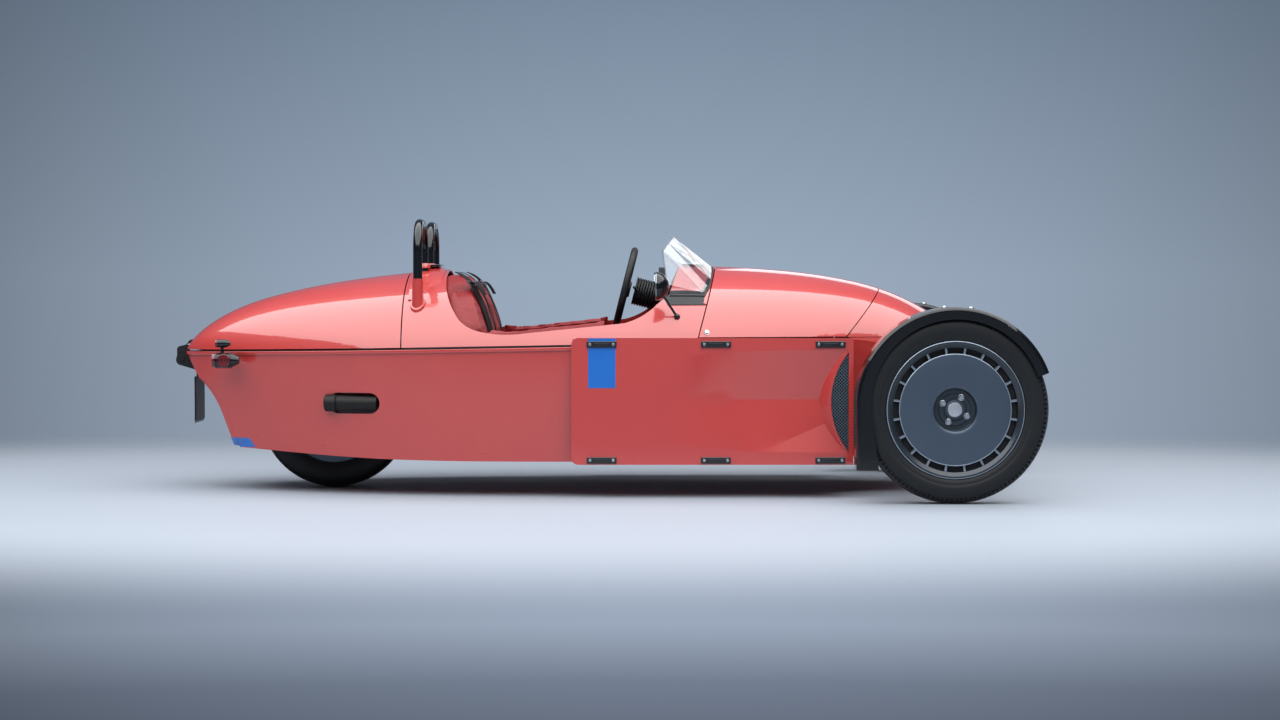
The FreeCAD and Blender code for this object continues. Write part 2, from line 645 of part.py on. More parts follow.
def front_brake_disc():
    r = SPINDLE_R
    profile = [(-8, r), (-8, 66), (22, 66), (22, 150), (30, 150), (30, 56), (8, 56), (8, r)]
    return ring(profile, FRONT_HUB)


def tie_rods():
    x, z = RACK_AT
    bar = rod((x, -250, z), (x, 250, z), RACK_R)
    link = rod((x, -250, z), (x, -KINGPIN_Y + 20, z + 2), 8)
    return fused([bar, link, mirrored(link)])


# ---------------------------------------------------------------- rear wheel and its arm
def rear_tyre():
    bead, w, r = REAR_TYRE_W / 2 - 17, REAR_TYRE_W / 2, REAR_TYRE_R
    half = [(bead, REAR_BEAD_R), (bead, REAR_BEAD_R + 18), (w, REAR_BEAD_R + 56)]
    half += [(w - 3, r - 27), (w - 25, r - 4)]
    profile = half + [(0, r)] + [(-a, b) for a, b in reversed(half)]
    return faceted_ring(profile, REAR_HUB, TYRE_FACETS - 12)


def rear_rim():
    bead, seat, lip = REAR_TYRE_W / 2 - 17, REAR_BEAD_R - BEAD_FIT, REAR_BEAD_R + 14
    barrel = [(-bead - 6, lip), (-bead - 6, 176), (-74, 176), (-60, 168)]
    barrel += [(60, 168), (74, 176), (bead + 6, 176), (bead + 6, lip)]
    barrel += [(bead + 0.2, lip), (bead + 0.2, seat), (-bead - 0.2, seat), (-bead - 0.2, lip)]
    dish = [(-40, 30), (-40, 60), (-56, 170), (-44, 170), (-28, 60), (-28, 30)]
    bore = REAR_AXLE_R + RUNNING_FIT
    hub = [(-50, bore), (-50, 42), (50, 42), (50, bore)]
    holes = turned(along("y", (REAR_X, -80, REAR_TYRE_R + 110), 60, 24), REAR_HUB, 8)
    return fused([ring(barrel, REAR_HUB), ring(dish, REAR_HUB), ring(hub, REAR_HUB)]).cut(fused(holes))


def swing_arm():
    """Two blades from the housing's front wall to the axle."""
    side = REAR_TYRE_W / 2 + 23
    pivot_x = WELL_X1 - 32
    blade = rounded_box(REAR_X - 40, WELL_X1 - 12, side, side + 24, REAR_TYRE_R - 32, REAR_TYRE_R + 32, 10)
    axle = along("y", (REAR_X, -side - 30, REAR_TYRE_R), 2 * side + 60, REAR_AXLE_R)
    pivot = along("y", (pivot_x, -WELL_Y, REAR_TYRE_R), 2 * WELL_Y, 15)
    return fused([blade, mirrored(blade), axle, pivot])


# ---------------------------------------------------------------- cabin
def cabin_room():
    """Space inside the tub's lining, inside the cowl, and in the cockpit's opening up to the body's form."""
    opening = body_form(2).common(cockpit_cut())
    return fused([body_form(WALL + 1), body_form(PANEL + 1).common(above_belt(1)), opening])


def seat_cushions():
    outline = [(-480, FLOOR_Z + 1), (20, FLOOR_Z + 1), ((45, 240), (30, 285)), (-120, 300)]
    outline += [(-420, 252), (-478, 240)]
    width = 2 * (SEAT_Y - TUNNEL_HALF_W) - 10
    return Part.makeCompound([side_prism(outline, y - width / 2, y + width / 2) for y in (-SEAT_Y, SEAT_Y)])


def seat_back_outline():
    outline = [(BULKHEAD_X + 1, 262), (BULKHEAD_X + 1, 890), (-633, 905), ((-585, 910), (-543, 896))]
    return outline + [((-494, 845), (-452, 748)), (-428, 678), (-397, 340), (-424, 262)]


def seat_backs():
    """Padded backs that rise out of the cockpit and follow the body's crown, notched round the bevel box."""
    across = side_prism(seat_back_outline(), -560, 560).common(cabin_room()).cut(upper_cowl())
    across = across.cut(box(-900, 900, -3, 3, 0, 1300)).cut(box(BULKHEAD_X, -380, -105, 105, 0, 366))
    return Part.makeCompound([s for s in across.Solids if s.Volume > 1e6])


def cockpit_padding():
    """The padded roll along each side of the cockpit's rim."""
    band = body_form(PANEL + 1).cut(body_form(PANEL + 24)).common(slab(-535, 43, 600))
    return band.common(cockpit_cut(34)).cut(cockpit_cut(-20)).cut(side_prism(seat_back_outline(), -560, 560))


def floor_trim():
    """Floor pan and the tunnel on it."""
    pan = body_form(WALL + 0.5).common(slab(BULKHEAD_X + 2, TOEBOARD_X - 2, 0, FLOOR_Z))
    tunnel = box(-420, TOEBOARD_X - 2, -TUNNEL_HALF_W, TUNNEL_HALF_W, FLOOR_Z + 0.5, TUNNEL_Z)
    top = [e for e in tunnel.Edges if e.BoundBox.ZMin > TUNNEL_Z - 0.01 and e.BoundBox.XLength > 1]
    return Part.makeCompound([pan, tunnel.makeFillet(20, top)])


def floor_controls():
    """Three pedals on the toe board, and the gear lever on the tunnel."""
    pieces = []
    for y in (-330, -262, -196):
        pad = rounded_box(TOEBOARD_X - 70, TOEBOARD_X - 60, y - 24, y + 24, 240, 310, 3)
        pieces.append(pad.fuse(rod((TOEBOARD_X - 61, y, 280), (TOEBOARD_X - 6, y, 330), 6)))
    gaiter = Part.makeCone(26, 12, 22, V(70, 0, TUNNEL_Z))
    lever = rod((70, 0, TUNNEL_Z), (55, 0, 430), 7)
    pieces.append(fused([gaiter, lever.cut(slab(0, 200, 0, TUNNEL_Z)), Part.makeSphere(22, V(53, 0, 442))]))
    return Part.makeCompound(pieces)


def on_column(shape):
    """Takes a shape made along +X from the origin to the steering column."""
    shape.rotate(V(0, 0, 0), V(0, 1, 0), WHEEL_TILT)
    shape.translate(V(*STEERING_WHEEL_AT))
    return shape


def steering_wheel():
    rim = Part.makeTorus(161.5, 13.5, V(0, 0, 0), V(1, 0, 0))
    pieces = [rim, along("x", (-8, 0, 0), 30, 34), along("x", (0, 0, 0), 60, 11)]
    for angle in (90, 270, 180):
        spoke = box(0, 8, -11, 11, 0, 155)
        spoke.rotate(V(0, 0, 0), V(1, 0, 0), angle)
        pieces.append(spoke)
    return on_column(fused(pieces))


def dashboard():
    """Panel across the scuttle with a switch box, and the column's gaiter on it."""
    panel = box(262, 286, -900, 900, 650, 1300).common(body_form(PANEL + 1))
    centre = rounded_box(226, 264, -60, 60, 700, 800, 10)
    socket = along("x", (30, 0, 0), 60, 11 + RUNNING_FIT)
    column = on_column(along("x", (38, 0, 0), 138, 52).cut(socket))
    return fused([panel, centre, column])


# ---------------------------------------------------------------- screens and mirrors
# Corners of the screen in front of the driver, from its outer rear edge round the front to its inner
# rear edge: plan position of the foot, then the top. y is measured from the middle of the seat.
Corner = namedtuple("Corner", "foot_x foot_y top_x top_y top_z")
SCREEN = [
    Corner(302, -208, 294, -203, 862),
    Corner(438, -197, 277, -168, 999),
    Corner(455, -150, 299, -123, 1029),
    Corner(470, -90, 320, -78, 1056),
    Corner(474, -30, 320, -26, 1056),
    Corner(476, 30, 320, 26, 1056),
    Corner(476, 90, 320, 78, 1056),
    Corner(462, 150, 299, 123, 1029),
    Corner(446, 178, 277, 168, 999),
    Corner(362, 190, 300, 178, 975),
]
STRIP_T = 7.0
STRIP_HALF_W = 14.0


def height_above(shape, x, y):
    return Part.makeLine(V(x, y, 400), V(x, y, 1300)).common(shape).BoundBox.ZMax


def folded_sheet(top, foot, focus, thick):
    """A thin folded sheet between two rows of points, its thickness pointing away from focus."""
    near = [top, foot]
    far = [[p + (p - focus).normalize() * thick for p in row] for row in near]
    faces = []
    for i in range(len(top) - 1):
        for a, b in (near, far):
            faces += [[a[i], a[i + 1], b[i + 1]], [a[i], b[i + 1], b[i]]]
        for a, b in zip(near, far):
            faces.append([a[i], a[i + 1], b[i + 1], b[i]])
    for i in (0, -1):
        faces.append([near[0][i], near[1][i], far[1][i], far[0][i]])
    sheet = Part.Solid(Part.makeShell([Part.Face(Part.makePolygon(f + f[:1])) for f in faces]))
    if sheet.Volume < 0:
        sheet.reverse()
    return sheet


def aero_screens():
    """A screen for each seat: a raked middle pane with folded wings, standing on its strip."""
    ground = body_form(-STRIP_T)
    foot_z = [height_above(ground, c.foot_x, c.foot_y - SCREEN_Y) + 3 for c in SCREEN]
    top = [V(c.top_x, c.top_y - SCREEN_Y, c.top_z) for c in SCREEN]
    foot = [V(c.foot_x, c.foot_y - SCREEN_Y, z) for c, z in zip(SCREEN, foot_z)]
    return pair(folded_sheet(top, foot, V(300, -SCREEN_Y, 830), SCREEN_T))


def screen_brackets():
    """The dark strip under each screen's foot; its plan follows the screen."""
    middle = V(330, 0, 0)
    outline = []
    for grow, corners in ((STRIP_HALF_W, SCREEN), (-STRIP_HALF_W, reversed(SCREEN))):
        for c in corners:
            out = (V(c.foot_x, c.foot_y, 0) - middle).normalize() * grow
            outline.append(V(c.foot_x, c.foot_y - SCREEN_Y, 700) + out)
    band = Part.Face(Part.makePolygon(outline + outline[:1])).extrude(V(0, 0, 400))
    strip = band.common(body_form(-STRIP_T)).cut(body_form())
    strip = strip.cut(cockpit_cut(-4)).common(behind(BONNET_REAR, SHUT + 4))
    return pair(largest(strip))


def mirrors():
    """Rear view mirrors: bowls with a flat glass to the rear, each on a stalk with a ball foot."""
    bowl = Part.Wire(
        [
            Part.makeLine(V(-16, 0, 0), V(-16, 0, 58)),
            Part.Arc(V(-16, 0, 58), V(19, 0, 42), V(36, 0, 0)).toShape(),
            Part.makeLine(V(36, 0, 0), V(-16, 0, 0)),
        ]
    )
    head = Part.Face(bowl).revolve(V(0, 0, 0), V(1, 0, 0), 360)
    head.translate(V(262, -590, 855))
    foot = (331, -body_surface(331, 732) - 2, 732)
    mirror = fused([head, rod((278, -582, 812), foot, 5), Part.makeSphere(13, V(*foot))])
    return pair(largest(mirror.cut(body_form())))


# ---------------------------------------------------------------- roll hoops
def hoop_path(left, right):
    """Up one leg, over two bends and down the other."""
    r, top = HOOP_BEND_R, HEIGHT - HOOP_TUBE_R
    q = r * (1 - math.cos(math.radians(45)))
    p = lambda y, z: V(HOOP_X, y, z)
    return Part.Wire(
        [
            Part.makeLine(p(left, 700), p(left, top - r)),
            Part.Arc(p(left, top - r), p(left + q, top - q), p(left + r, top)).toShape(),
            Part.makeLine(p(left + r, top), p(right - r, top)),
            Part.Arc(p(right - r, top), p(right - q, top - q), p(right, top - r)).toShape(),
            Part.makeLine(p(right, top - r), p(right, 700)),
        ]
    )


def roll_hoops():
    profile = Part.Wire([Part.makeCircle(HOOP_TUBE_R, V(HOOP_X, HOOP_LEGS[0], 700), V(0, 0, 1))])
    hoop = hoop_path(*HOOP_LEGS).makePipeShell([profile], True, False)
    return pair(largest(hoop.cut(upper_cowl()).cut(body_form(2))))


def hoop_collars():
    """Body coloured sleeves round the outer legs, each on a foot that follows the cowl."""
    y = HOOP_LEGS[1]
    sleeve = Part.makeCone(27, 21.5, 186, V(HOOP_X, y, 700))
    foot = along("z", (HOOP_X, y, 700), 300, 31).common(body_form(-9))
    bore = along("z", (HOOP_X, y, 690), 300, HOOP_TUBE_R + RUNNING_FIT)
    return pair(largest(sleeve.fuse(foot).cut(bore).cut(upper_cowl()).cut(body_form(2))))


# ---------------------------------------------------------------- tail
def exhaust_tips():
    """A tail pipe lying in each side's recess, open to the rear."""
    rear, front = (-1094, -438, PIPE_Z), (-890, -478, PIPE_Z)
    pipe = rod(rear, front, PIPE_R).cut(rod(rear, (-1030, -451, PIPE_Z), PIPE_R - 4.5))
    return pair(pipe.common(slot_prism(-1055, -924, PIPE_Z, 42, -700, -373)))


LAMP_AT = (TAIL_X + 184, -350.0, 548.0)
MARKER_DZ = 70.0


def tail_lamps():
    """On each side a bullet lamp with a small one above it, on a stalk from the hull."""
    x, y, z = LAMP_AT
    main = along("x", (x - 16, y, z), 60, 31.5)
    main_nose = Part.makeCone(31.5, 14, 38, V(x + 44, y, z), V(1, 0, 0))
    small = along("x", (x - 7, y, z + MARKER_DZ), 34, 17)
    small_nose = Part.makeCone(17, 8, 20, V(x + 27, y, z + MARKER_DZ), V(1, 0, 0))
    stalk = rod((x + 12, y, z + 5), (x + 12, y, z + MARKER_DZ - 5), 7)
    arm = rod((x + 22, y, z + 5), (x + 42, -230, z + 5), 10)
    return pair(largest(fused([main, main_nose, small, small_nose, stalk, arm]).cut(body_form())))


def tail_lenses():
    x, y, z = LAMP_AT
    small = along("x", (x - 15, y, z + MARKER_DZ), 8, 15)
    return pair(Part.makeCompound([along("x", (x - 28, y, z), 12, 29), small]))


PLATE_X = TAIL_X + 39.0
PLATE_Z = (275.0, 471.0)


def number_plate():
    return box(PLATE_X, PLATE_X + 2, -120, 120, *PLATE_Z)


def tail_brackets():
    """The number plate's backing and the cap that holds it, and the two ears of the lid's hinge."""
    low, high = PLATE_Z
    back = box(PLATE_X + 2, PLATE_X + 7, -110, 110, low + 10, high + 1)
    cap = box(PLATE_X - 1, PLATE_X + 63, -50, 50, high, high + 18)
    hull = body_form().cut(tail_cut())
    holder = fused([back, cap]).cut(hull)
    x, z = HINGE_AT
    outline = [(x + 64, z - 46), (x - 12, z - 24), ((x - 25, z - 12), (x - 27, z)), (x - 22, z + 20)]
    outline += [(x + 19, z + 26), (x + 64, z + 26)]
    ear = side_prism(outline, 34, 48).cut(along("y", (x, 0, z), 60, HINGE_PIN_R + RUNNING_FIT))
    root = box(x + 26, x + 74, -48, 48, z - 36, z + 17)
    hinge = fused([ear, mirrored(ear), root]).cut(hull)
    return Part.makeCompound([s for s in holder.Solids + hinge.Solids if s.Volume > 1e4])


def lid_strap():
    """The hinge's moving half: a strap from the lid's tip down to the pin."""
    x, z = HINGE_AT
    outline = [(x + 22, z + 46), (x + 37, z + 84), (x + 27, z + 80), (x + 12, z + 62), (x - 12, z + 56)]
    outline += [((x - 23, z + 50), (x - 26, z + 38)), (x - 26, z + 6)]
    outline += [((x - 18, z - 18), (x, z - 22)), ((x + 18, z - 10), (x + 12, z + 18))]
    strap = side_prism(outline, -28, 28).cut(body_form())
    return largest(strap.fuse(along("y", (x, -60, z), 120, HINGE_PIN_R)))


# ---------------------------------------------------------------- lamps at the nose
HEADLAMP_AT = (FRONT_X + 80.5, -330.0, 560.0)
HEADLAMP_R = 86.0


def headlamp_shells():
    x, y, z = HEADLAMP_AT
    back = Part.makeCone(HEADLAMP_R, 40, 70, V(x, y, z), V(-1, 0, 0))
    shell = along("x", (x, y, z), 60, HEADLAMP_R).fuse(back).cut(along("x", (x + 15, y, z), 60, HEADLAMP_R - 6))
    arm = rod((x - 20, y, z), (x - 20, -200, z - 40), 12)
    return pair(largest(shell.fuse(arm).cut(body_form())))


def headlamp_lenses():
    x, y, z = HEADLAMP_AT
    return pair(along("x", (x + 46, y, z), 10, HEADLAMP_R - 6))


# ---------------------------------------------------------------- writing the nodes
HULL = (hull_tub, side_shelves, boot_lid, upper_cowl, bonnet, nose_cowl, nose_sides, nose_grille, belt_seal)
SIDES = (side_blades, intake_mesh, blade_clips)
RUNNING = (front_frame, power_train, front_suspension, tie_rods, rear_tyre, rear_rim, swing_arm)
CABIN = (seat_cushions, seat_backs, cockpit_padding, floor_trim, floor_controls, steering_wheel, dashboard)
OUTSIDE = (aero_screens, screen_brackets, mirrors, roll_hoops, hoop_collars, exhaust_tips, tail_lamps)
ENDS = (tail_lenses, number_plate, tail_brackets, lid_strap, headlamp_shells, headlamp_lenses)
NODES = {f.__name__: f for f in HULL + SIDES + RUNNING + CABIN + OUTSIDE + ENDS}
SIDED = {f.__name__: f for f in (guard, upright, front_tyre, front_rim, front_brake_disc)}


def save(name, shape):
    solids = shape.Solids
    whole = solids[0] if len(solids) == 1 else Part.makeCompound(solids)
    whole.exportStep(os.path.join("parts", name + ".step"))
    facts = f"solids {len(solids):2d} faces {len(whole.Faces):4d} valid {whole.isValid()}"
    print(f"{name:24s} {facts} litres {whole.Volume / 1e6:8.3f}")


def main():
    os.makedirs("parts", exist_ok=True)
    for name, make in NODES.items():
        save(name, make())
    for name, make in SIDED.items():
        right = make()
        save(name + "_right", right)
        save(name + "_left", mirrored(right))


if __name__ == "__main__":
    main()
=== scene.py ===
"""Looks of an open three wheeled car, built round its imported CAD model.

Metres, +X forward, +Y left, +Z up."""

import math

import bmesh
import bpy
from mathutils import Matrix, Vector


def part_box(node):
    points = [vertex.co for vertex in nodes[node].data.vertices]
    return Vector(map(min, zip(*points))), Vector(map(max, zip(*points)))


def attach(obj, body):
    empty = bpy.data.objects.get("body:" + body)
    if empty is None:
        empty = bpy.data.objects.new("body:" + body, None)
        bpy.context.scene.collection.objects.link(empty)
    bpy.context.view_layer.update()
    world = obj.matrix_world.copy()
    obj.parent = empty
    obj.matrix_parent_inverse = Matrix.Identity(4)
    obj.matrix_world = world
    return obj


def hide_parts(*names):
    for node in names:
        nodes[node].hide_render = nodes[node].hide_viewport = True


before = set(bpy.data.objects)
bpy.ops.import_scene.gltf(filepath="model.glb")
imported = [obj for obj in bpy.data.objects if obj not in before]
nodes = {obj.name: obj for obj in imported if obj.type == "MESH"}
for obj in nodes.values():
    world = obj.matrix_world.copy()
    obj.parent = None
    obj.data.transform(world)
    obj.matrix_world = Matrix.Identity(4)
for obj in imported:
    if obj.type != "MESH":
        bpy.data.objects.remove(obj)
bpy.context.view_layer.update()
MM = 0.001

# ---------------------------------------------------------------- Studio
# A pale matt floor that fades into a plain blue grey wall, under one wide diffuser that hangs over the
# car and out to its near side. The fade is a mix by distance, so the floor keeps the car's shadow.


def linear(hex_colour):
    """sRGB hex to linear RGBA."""
    channels = [int(hex_colour[i : i + 2], 16) / 255 for i in (1, 3, 5)]
    return [c / 12.92 if c <= 0.04045 else ((c + 0.055) / 1.055) ** 2.4 for c in channels] + [1.0]


def add(material, kind, inputs=None, **settings):
    """Adds one node, sets it up and links or fills its sockets."""
    node = material.node_tree.nodes.new(kind)
    for name, value in settings.items():
        setattr(node, name, value)
    for name, value in (inputs or {}).items():
        socket = node.inputs[name]
        if isinstance(value, bpy.types.NodeSocket):
            material.node_tree.links.new(value, socket)
        else:
            socket.default_value = linear(value) if isinstance(value, str) else value
    return node


def shader_of(material):
    return material.node_tree.nodes["Principled BSDF"]


def finish_of(name, colour, roughness, sockets=None):
    """A new material with its shader set up."""
    material = bpy.data.materials.new(name)
    material.use_nodes = True
    shader = shader_of(material)
    shader.inputs["Base Color"].default_value = linear(colour)
    shader.inputs["Roughness"].default_value = roughness
    for socket, value in (sockets or {}).items():
        shader.inputs[socket].default_value = value
    return material


def new_piece(name, mesh, material, body=None, crease=30):
    """Turns a finished bmesh into an object at the origin, riding on a body."""
    data = bpy.data.meshes.new(name)
    mesh.to_mesh(data)
    mesh.free()
    data.materials.append(material)
    data.shade_smooth()
    data.set_sharp_from_angle(angle=math.radians(crease))
    piece = bpy.data.objects.new(name, data)
    bpy.context.scene.collection.objects.link(piece)
    if body:
        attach(piece, body)
    return piece


# Matt floor paint, pale grey: it shows a soft shadow and no reflection, and thins out along an oval.
FADE_FROM, FADE_TO = 2.0, 3.9
floor_paint = finish_of("matt_floor_paint", "#929AA5", 0.6)
on_floor = add(floor_paint, "ShaderNodeTexCoord")
stretch = {"Vector": on_floor.outputs["Object"], "Scale": (0.6, 0.9, 1.0)}
oval = add(floor_paint, "ShaderNodeMapping", stretch)
away = add(floor_paint, "ShaderNodeVectorMath", {0: oval.outputs[0]}, operation="LENGTH")
fade = add(
    floor_paint,
    "ShaderNodeMapRange",
    {"Value": away.outputs["Value"], "From Min": FADE_FROM, "From Max": FADE_TO},
    interpolation_type="SMOOTHSTEP",
)
beyond = add(floor_paint, "ShaderNodeBsdfTransparent")
floor_mix = {0: fade.outputs[0], 1: shader_of(floor_paint).outputs[0], 2: beyond.outputs[0]}
joined = add(floor_paint, "ShaderNodeMixShader", floor_mix)
floor_end = floor_paint.node_tree.nodes["Material Output"]
floor_paint.node_tree.links.new(joined.outputs[0], floor_end.inputs["Surface"])
floor_mesh = bmesh.new()
bmesh.ops.create_grid(floor_mesh, x_segments=1, y_segments=1, size=60)
new_piece("floor", floor_mesh, floor_paint)

# The wall's light is painted into its colour: palest at the horizon, with painted shade upward, downward
# and to both sides. Only the camera and what reflects or shows through see it; the light on the car is an
# even pale sky.
world = bpy.data.worlds.new("studio")
world.use_nodes = True
bpy.context.scene.world = world
bpy.context.scene.view_settings.view_transform = "Standard"
sky = world.node_tree.nodes["Background"]
sky.inputs["Color"].default_value = linear("#DDE3EA")
sky.inputs["Strength"].default_value = 0.24
direction = add(world, "ShaderNodeTexCoord")
parts_of = add(world, "ShaderNodeSeparateXYZ", {0: direction.outputs["Generated"]})
WALL_LOW, WALL_HIGH = -0.18, 0.13
up = {"Value": parts_of.outputs["Z"], "From Min": WALL_LOW, "From Max": WALL_HIGH}
climb = add(world, "ShaderNodeMapRange", up)
wall = add(world, "ShaderNodeValToRGB", {"Fac": climb.outputs[0]})
WALL = [
    (0.0, "#5F6879"),
    (0.08, "#737E90"),
    (0.15, "#9CA9BC"),
    (0.58, "#9BABBE"),
    (0.9, "#7C8DA1"),
    (1.0, "#6E7F93"),
]
for height, _ in WALL[1:-1]:
    wall.color_ramp.elements.new(height)
for element, (height, colour) in zip(wall.color_ramp.elements, WALL):
    element.position, element.color = height, linear(colour)
WALL_MIDDLE, WALL_REACH, WALL_EDGE = 0.012, 0.07, 0.55
sideways = add(world, "ShaderNodeMath", {0: parts_of.outputs["X"], 1: -WALL_MIDDLE}, operation="ADD")
aside = sideways.outputs[0]
squared = add(world, "ShaderNodeMath", {0: aside, 1: aside}, operation="MULTIPLY")
dimming = add(
    world,
    "ShaderNodeMapRange",
    {"Value": squared.outputs[0], "From Max": WALL_REACH, "To Min": 1.0, "To Max": WALL_EDGE},
)
backdrop = add(world, "ShaderNodeBackground", {"Color": wall.outputs[0], "Strength": dimming.outputs[0]})
seen = add(world, "ShaderNodeLightPath")
rays = seen.outputs["Is Camera Ray"]
for kind in ("Is Transmission Ray", "Is Glossy Ray"):
    rays = add(world, "ShaderNodeMath", {0: rays, 1: seen.outputs[kind]}, operation="MAXIMUM").outputs[0]
shown = add(world, "ShaderNodeMixShader", {0: rays, 1: sky.outputs[0], 2: backdrop.outputs[0]})
world.node_tree.links.new(shown.outputs[0], world.node_tree.nodes["World Output"].inputs["Surface"])


def soft_box(name, place, aim, size, watts):
    """A rectangular diffuser lamp that faces a point."""
    light = bpy.data.lights.new(name, "AREA")
    light.shape, light.size, light.size_y, light.energy = "RECTANGLE", size[0], size[1], watts
    lamp = bpy.data.objects.new(name, light)
    lamp.location = place
    lamp.rotation_euler = (Vector(aim) - Vector(place)).to_track_quat("-Z", "Y").to_euler()
    bpy.context.scene.collection.objects.link(lamp)


soft_box("overhead", place=(-0.3, -3.0, 4.6), aim=(-0.3, -3.0, 0), size=(11.8, 10.0), watts=1330)
soft_box("far_fill", place=(2.6, 6.5, 3.0), aim=(0, 0, 0.5), size=(3.6, 1.4), watts=24)

LENS_MM, SENSOR_MM, LOOK_DOWN = 73.04, 36.0, 1.87
camera = bpy.data.objects.new("camera", bpy.data.cameras.new("camera"))
camera.data.lens, camera.data.sensor_width = LENS_MM, SENSOR_MM
camera.location = (0.181, -11.08, 0.90)
camera.rotation_euler = (math.radians(90 - LOOK_DOWN), 0, 0)
bpy.context.scene.collection.objects.link(camera)
bpy.context.scene.camera = camera

# ---------------------------------------------------------------- Painted body panels
# Moulded panels and an aluminium tub in coral two-pack paint under clear lacquer, all sprayed together
# before they are bolted up. The shelves that carry the blades are painted with them.

CORAL = "#B22F2A"
LACQUER = {"Coat Weight": 1.0, "Coat Roughness": 0.04, "Coat IOR": 1.62}


def pitted(material, size_mm, depth_mm):
    """Gives a finish an uneven surface whose bumps are size_mm across."""
    at = add(material, "ShaderNodeTexCoord").outputs["Object"]
    noise = add(material, "ShaderNodeTexNoise", {"Vector": at, "Scale": 1000 / size_mm, "Detail": 2.0})
    rough = {"Height": noise.outputs[0], "Distance": depth_mm * MM, "Strength": 1.0}
    bump = add(material, "ShaderNodeBump", rough)
    material.node_tree.links.new(bump.outputs[0], shader_of(material).inputs["Normal"])


def mottled(material, size_mm, dark, light):
    """Lets the colour drift between two shades over size_mm."""
    at = add(material, "ShaderNodeTexCoord").outputs["Object"]
    noise = add(material, "ShaderNodeTexNoise", {"Vector": at, "Scale": 1000 / size_mm, "Detail": 3.0})
    drift = add(material, "ShaderNodeMixRGB", {"Fac": noise.outputs[0], "Color1": dark, "Color2": light})
    material.node_tree.links.new(drift.outputs[0], shader_of(material).inputs["Base Color"])


def dress(material, *names):
    """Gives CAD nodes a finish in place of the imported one."""
    for name in names:
        nodes[name].data.materials.clear()
        nodes[name].data.materials.append(material)


# Coral paint under lacquer: a wide clean reflection over a soft colour. Sprayed lacquer has a faint
# orange peel, a few millimetres across, which softens the edge of each reflection.
coral = finish_of("coral_lacquered_paint", CORAL, 0.42, LACQUER)
mottled(coral, 140, "#AF2C27", "#B5312C")
pitted(coral, 5, 0.02)
dress(coral, "hull_tub", "boot_lid", "upper_cowl", "bonnet", "nose_cowl", "nose_sides", "side_shelves")
dress(coral, "side_blades", "hoop_collars")

# ---------------------------------------------------------------- Front tyres
# Narrow cross-ply style tyres on 20 inch rims: a round crown with running grooves, shoulder notches
# about 19 mm apart and plain sidewalls, moulded in one piece and pressed over the rim.


def everything(mesh):
    return mesh.verts[:] + mesh.edges[:] + mesh.faces[:]


def lathe(profile, steps=96, closed=True):
    """Spins a profile of (outward offset, radius), in millimetres, about the Y axis; outward is -Y."""
    mesh = bmesh.new()
    verts = [mesh.verts.new((0, -out * MM, radius * MM)) for out, radius in profile]
    following = verts[1:] + verts[:1] if closed else verts[1:]
    outline = verts + [mesh.edges.new(ends) for ends in zip(verts, following)]
    bmesh.ops.spin(
        mesh, geom=outline, cent=(0, 0, 0), axis=(0, 1, 0), angle=2 * math.pi, steps=steps, use_merge=True
    )
    bmesh.ops.remove_doubles(mesh, verts=mesh.verts, dist=1e-6)
    bmesh.ops.recalc_face_normals(mesh, faces=mesh.faces)
    return mesh


def opposite(mesh):
    """A copy mirrored across the car."""
    other = mesh.copy()
    bmesh.ops.scale(other, vec=(1, -1, 1), verts=other.verts)
    bmesh.ops.reverse_faces(other, faces=other.faces)
    return other


def moved(mesh, place):
    bmesh.ops.translate(mesh, vec=place, verts=mesh.verts)
    return mesh


def on_front_wheels(name, mesh, material):
    """A mesh made round the origin, on the right wheel and mirrored on the left: (side, piece) of each."""
    other = opposite(mesh)
    pieces = []
    for side, form, across in (("right", mesh, front_hub.y), ("left", other, -front_hub.y)):
        moved(form, (front_hub.x, across, front_hub.z))
        pieces.append((side, new_piece(f"{name}_{side}", form, material, f"front_wheel_{side}")))
    return pieces


def notched(mesh, radii, depth_mm, steps):
    """Cuts a notch in every second face of the band between two radii, on both shoulders of a tyre."""
    band = []
    for face in mesh.faces:
        middle = face.calc_center_median()
        radius = math.hypot(middle.x, middle.z) / MM
        if radii[0] < radius < radii[1] and abs(middle.y) > 40 * MM:
            turn = math.atan2(middle.x, middle.z) / (2 * math.pi) % 1
            if int(turn * steps) % 2:
                band.append(face)
    bmesh.ops.inset_individual(mesh, faces=band, thickness=1.6 * MM, depth=-depth_mm * MM)


def whole_section(half):
    """A tyre's section from its outward half."""
    return half + [(-out, radius) for out, radius in reversed(half[1:])]


front_low, front_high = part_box("front_tyre_right")
front_hub = (front_low + front_high) / 2
NOTCH_DEPTH = 3.5
FRONT_STEPS, FRONT_NOTCHES = 240, (349, 358)
FRONT_HALF = [
    (0, 371), (3, 371), (4.5, 366.5), (9, 366.3), (10.5, 370.5), (24, 369), (25.5, 364.5), (30, 363.6),
    (31.5, 367), (43, 362.6), (47, 360.5), (55.5, 353.2), (60, 345.5), (62.6, 336), (64, 322),
    (63.7, 309), (62.2, 298.5), (60.4, 295.8), (60.4, 293), (58.8, 284), (55.5, 276), (51, 272),
    (48.6, 268), (47.8, 259), (46, 256.6),
]

# Moulded black rubber: dull, with a slight sheen and a skin too rough to mirror anything. Its black is
# tinted blue, a painted reflection of the blue grey room.
RUBBER_SHEEN = {"Specular IOR Level": 0.35, "Sheen Weight": 0.06, "Sheen Roughness": 0.5}
tyre_rubber = finish_of("tyre_rubber", "#070A0F", 0.58, RUBBER_SHEEN)
mottled(tyre_rubber, 60, "#06090D", "#0B0F14")
pitted(tyre_rubber, 1.5, 0.15)

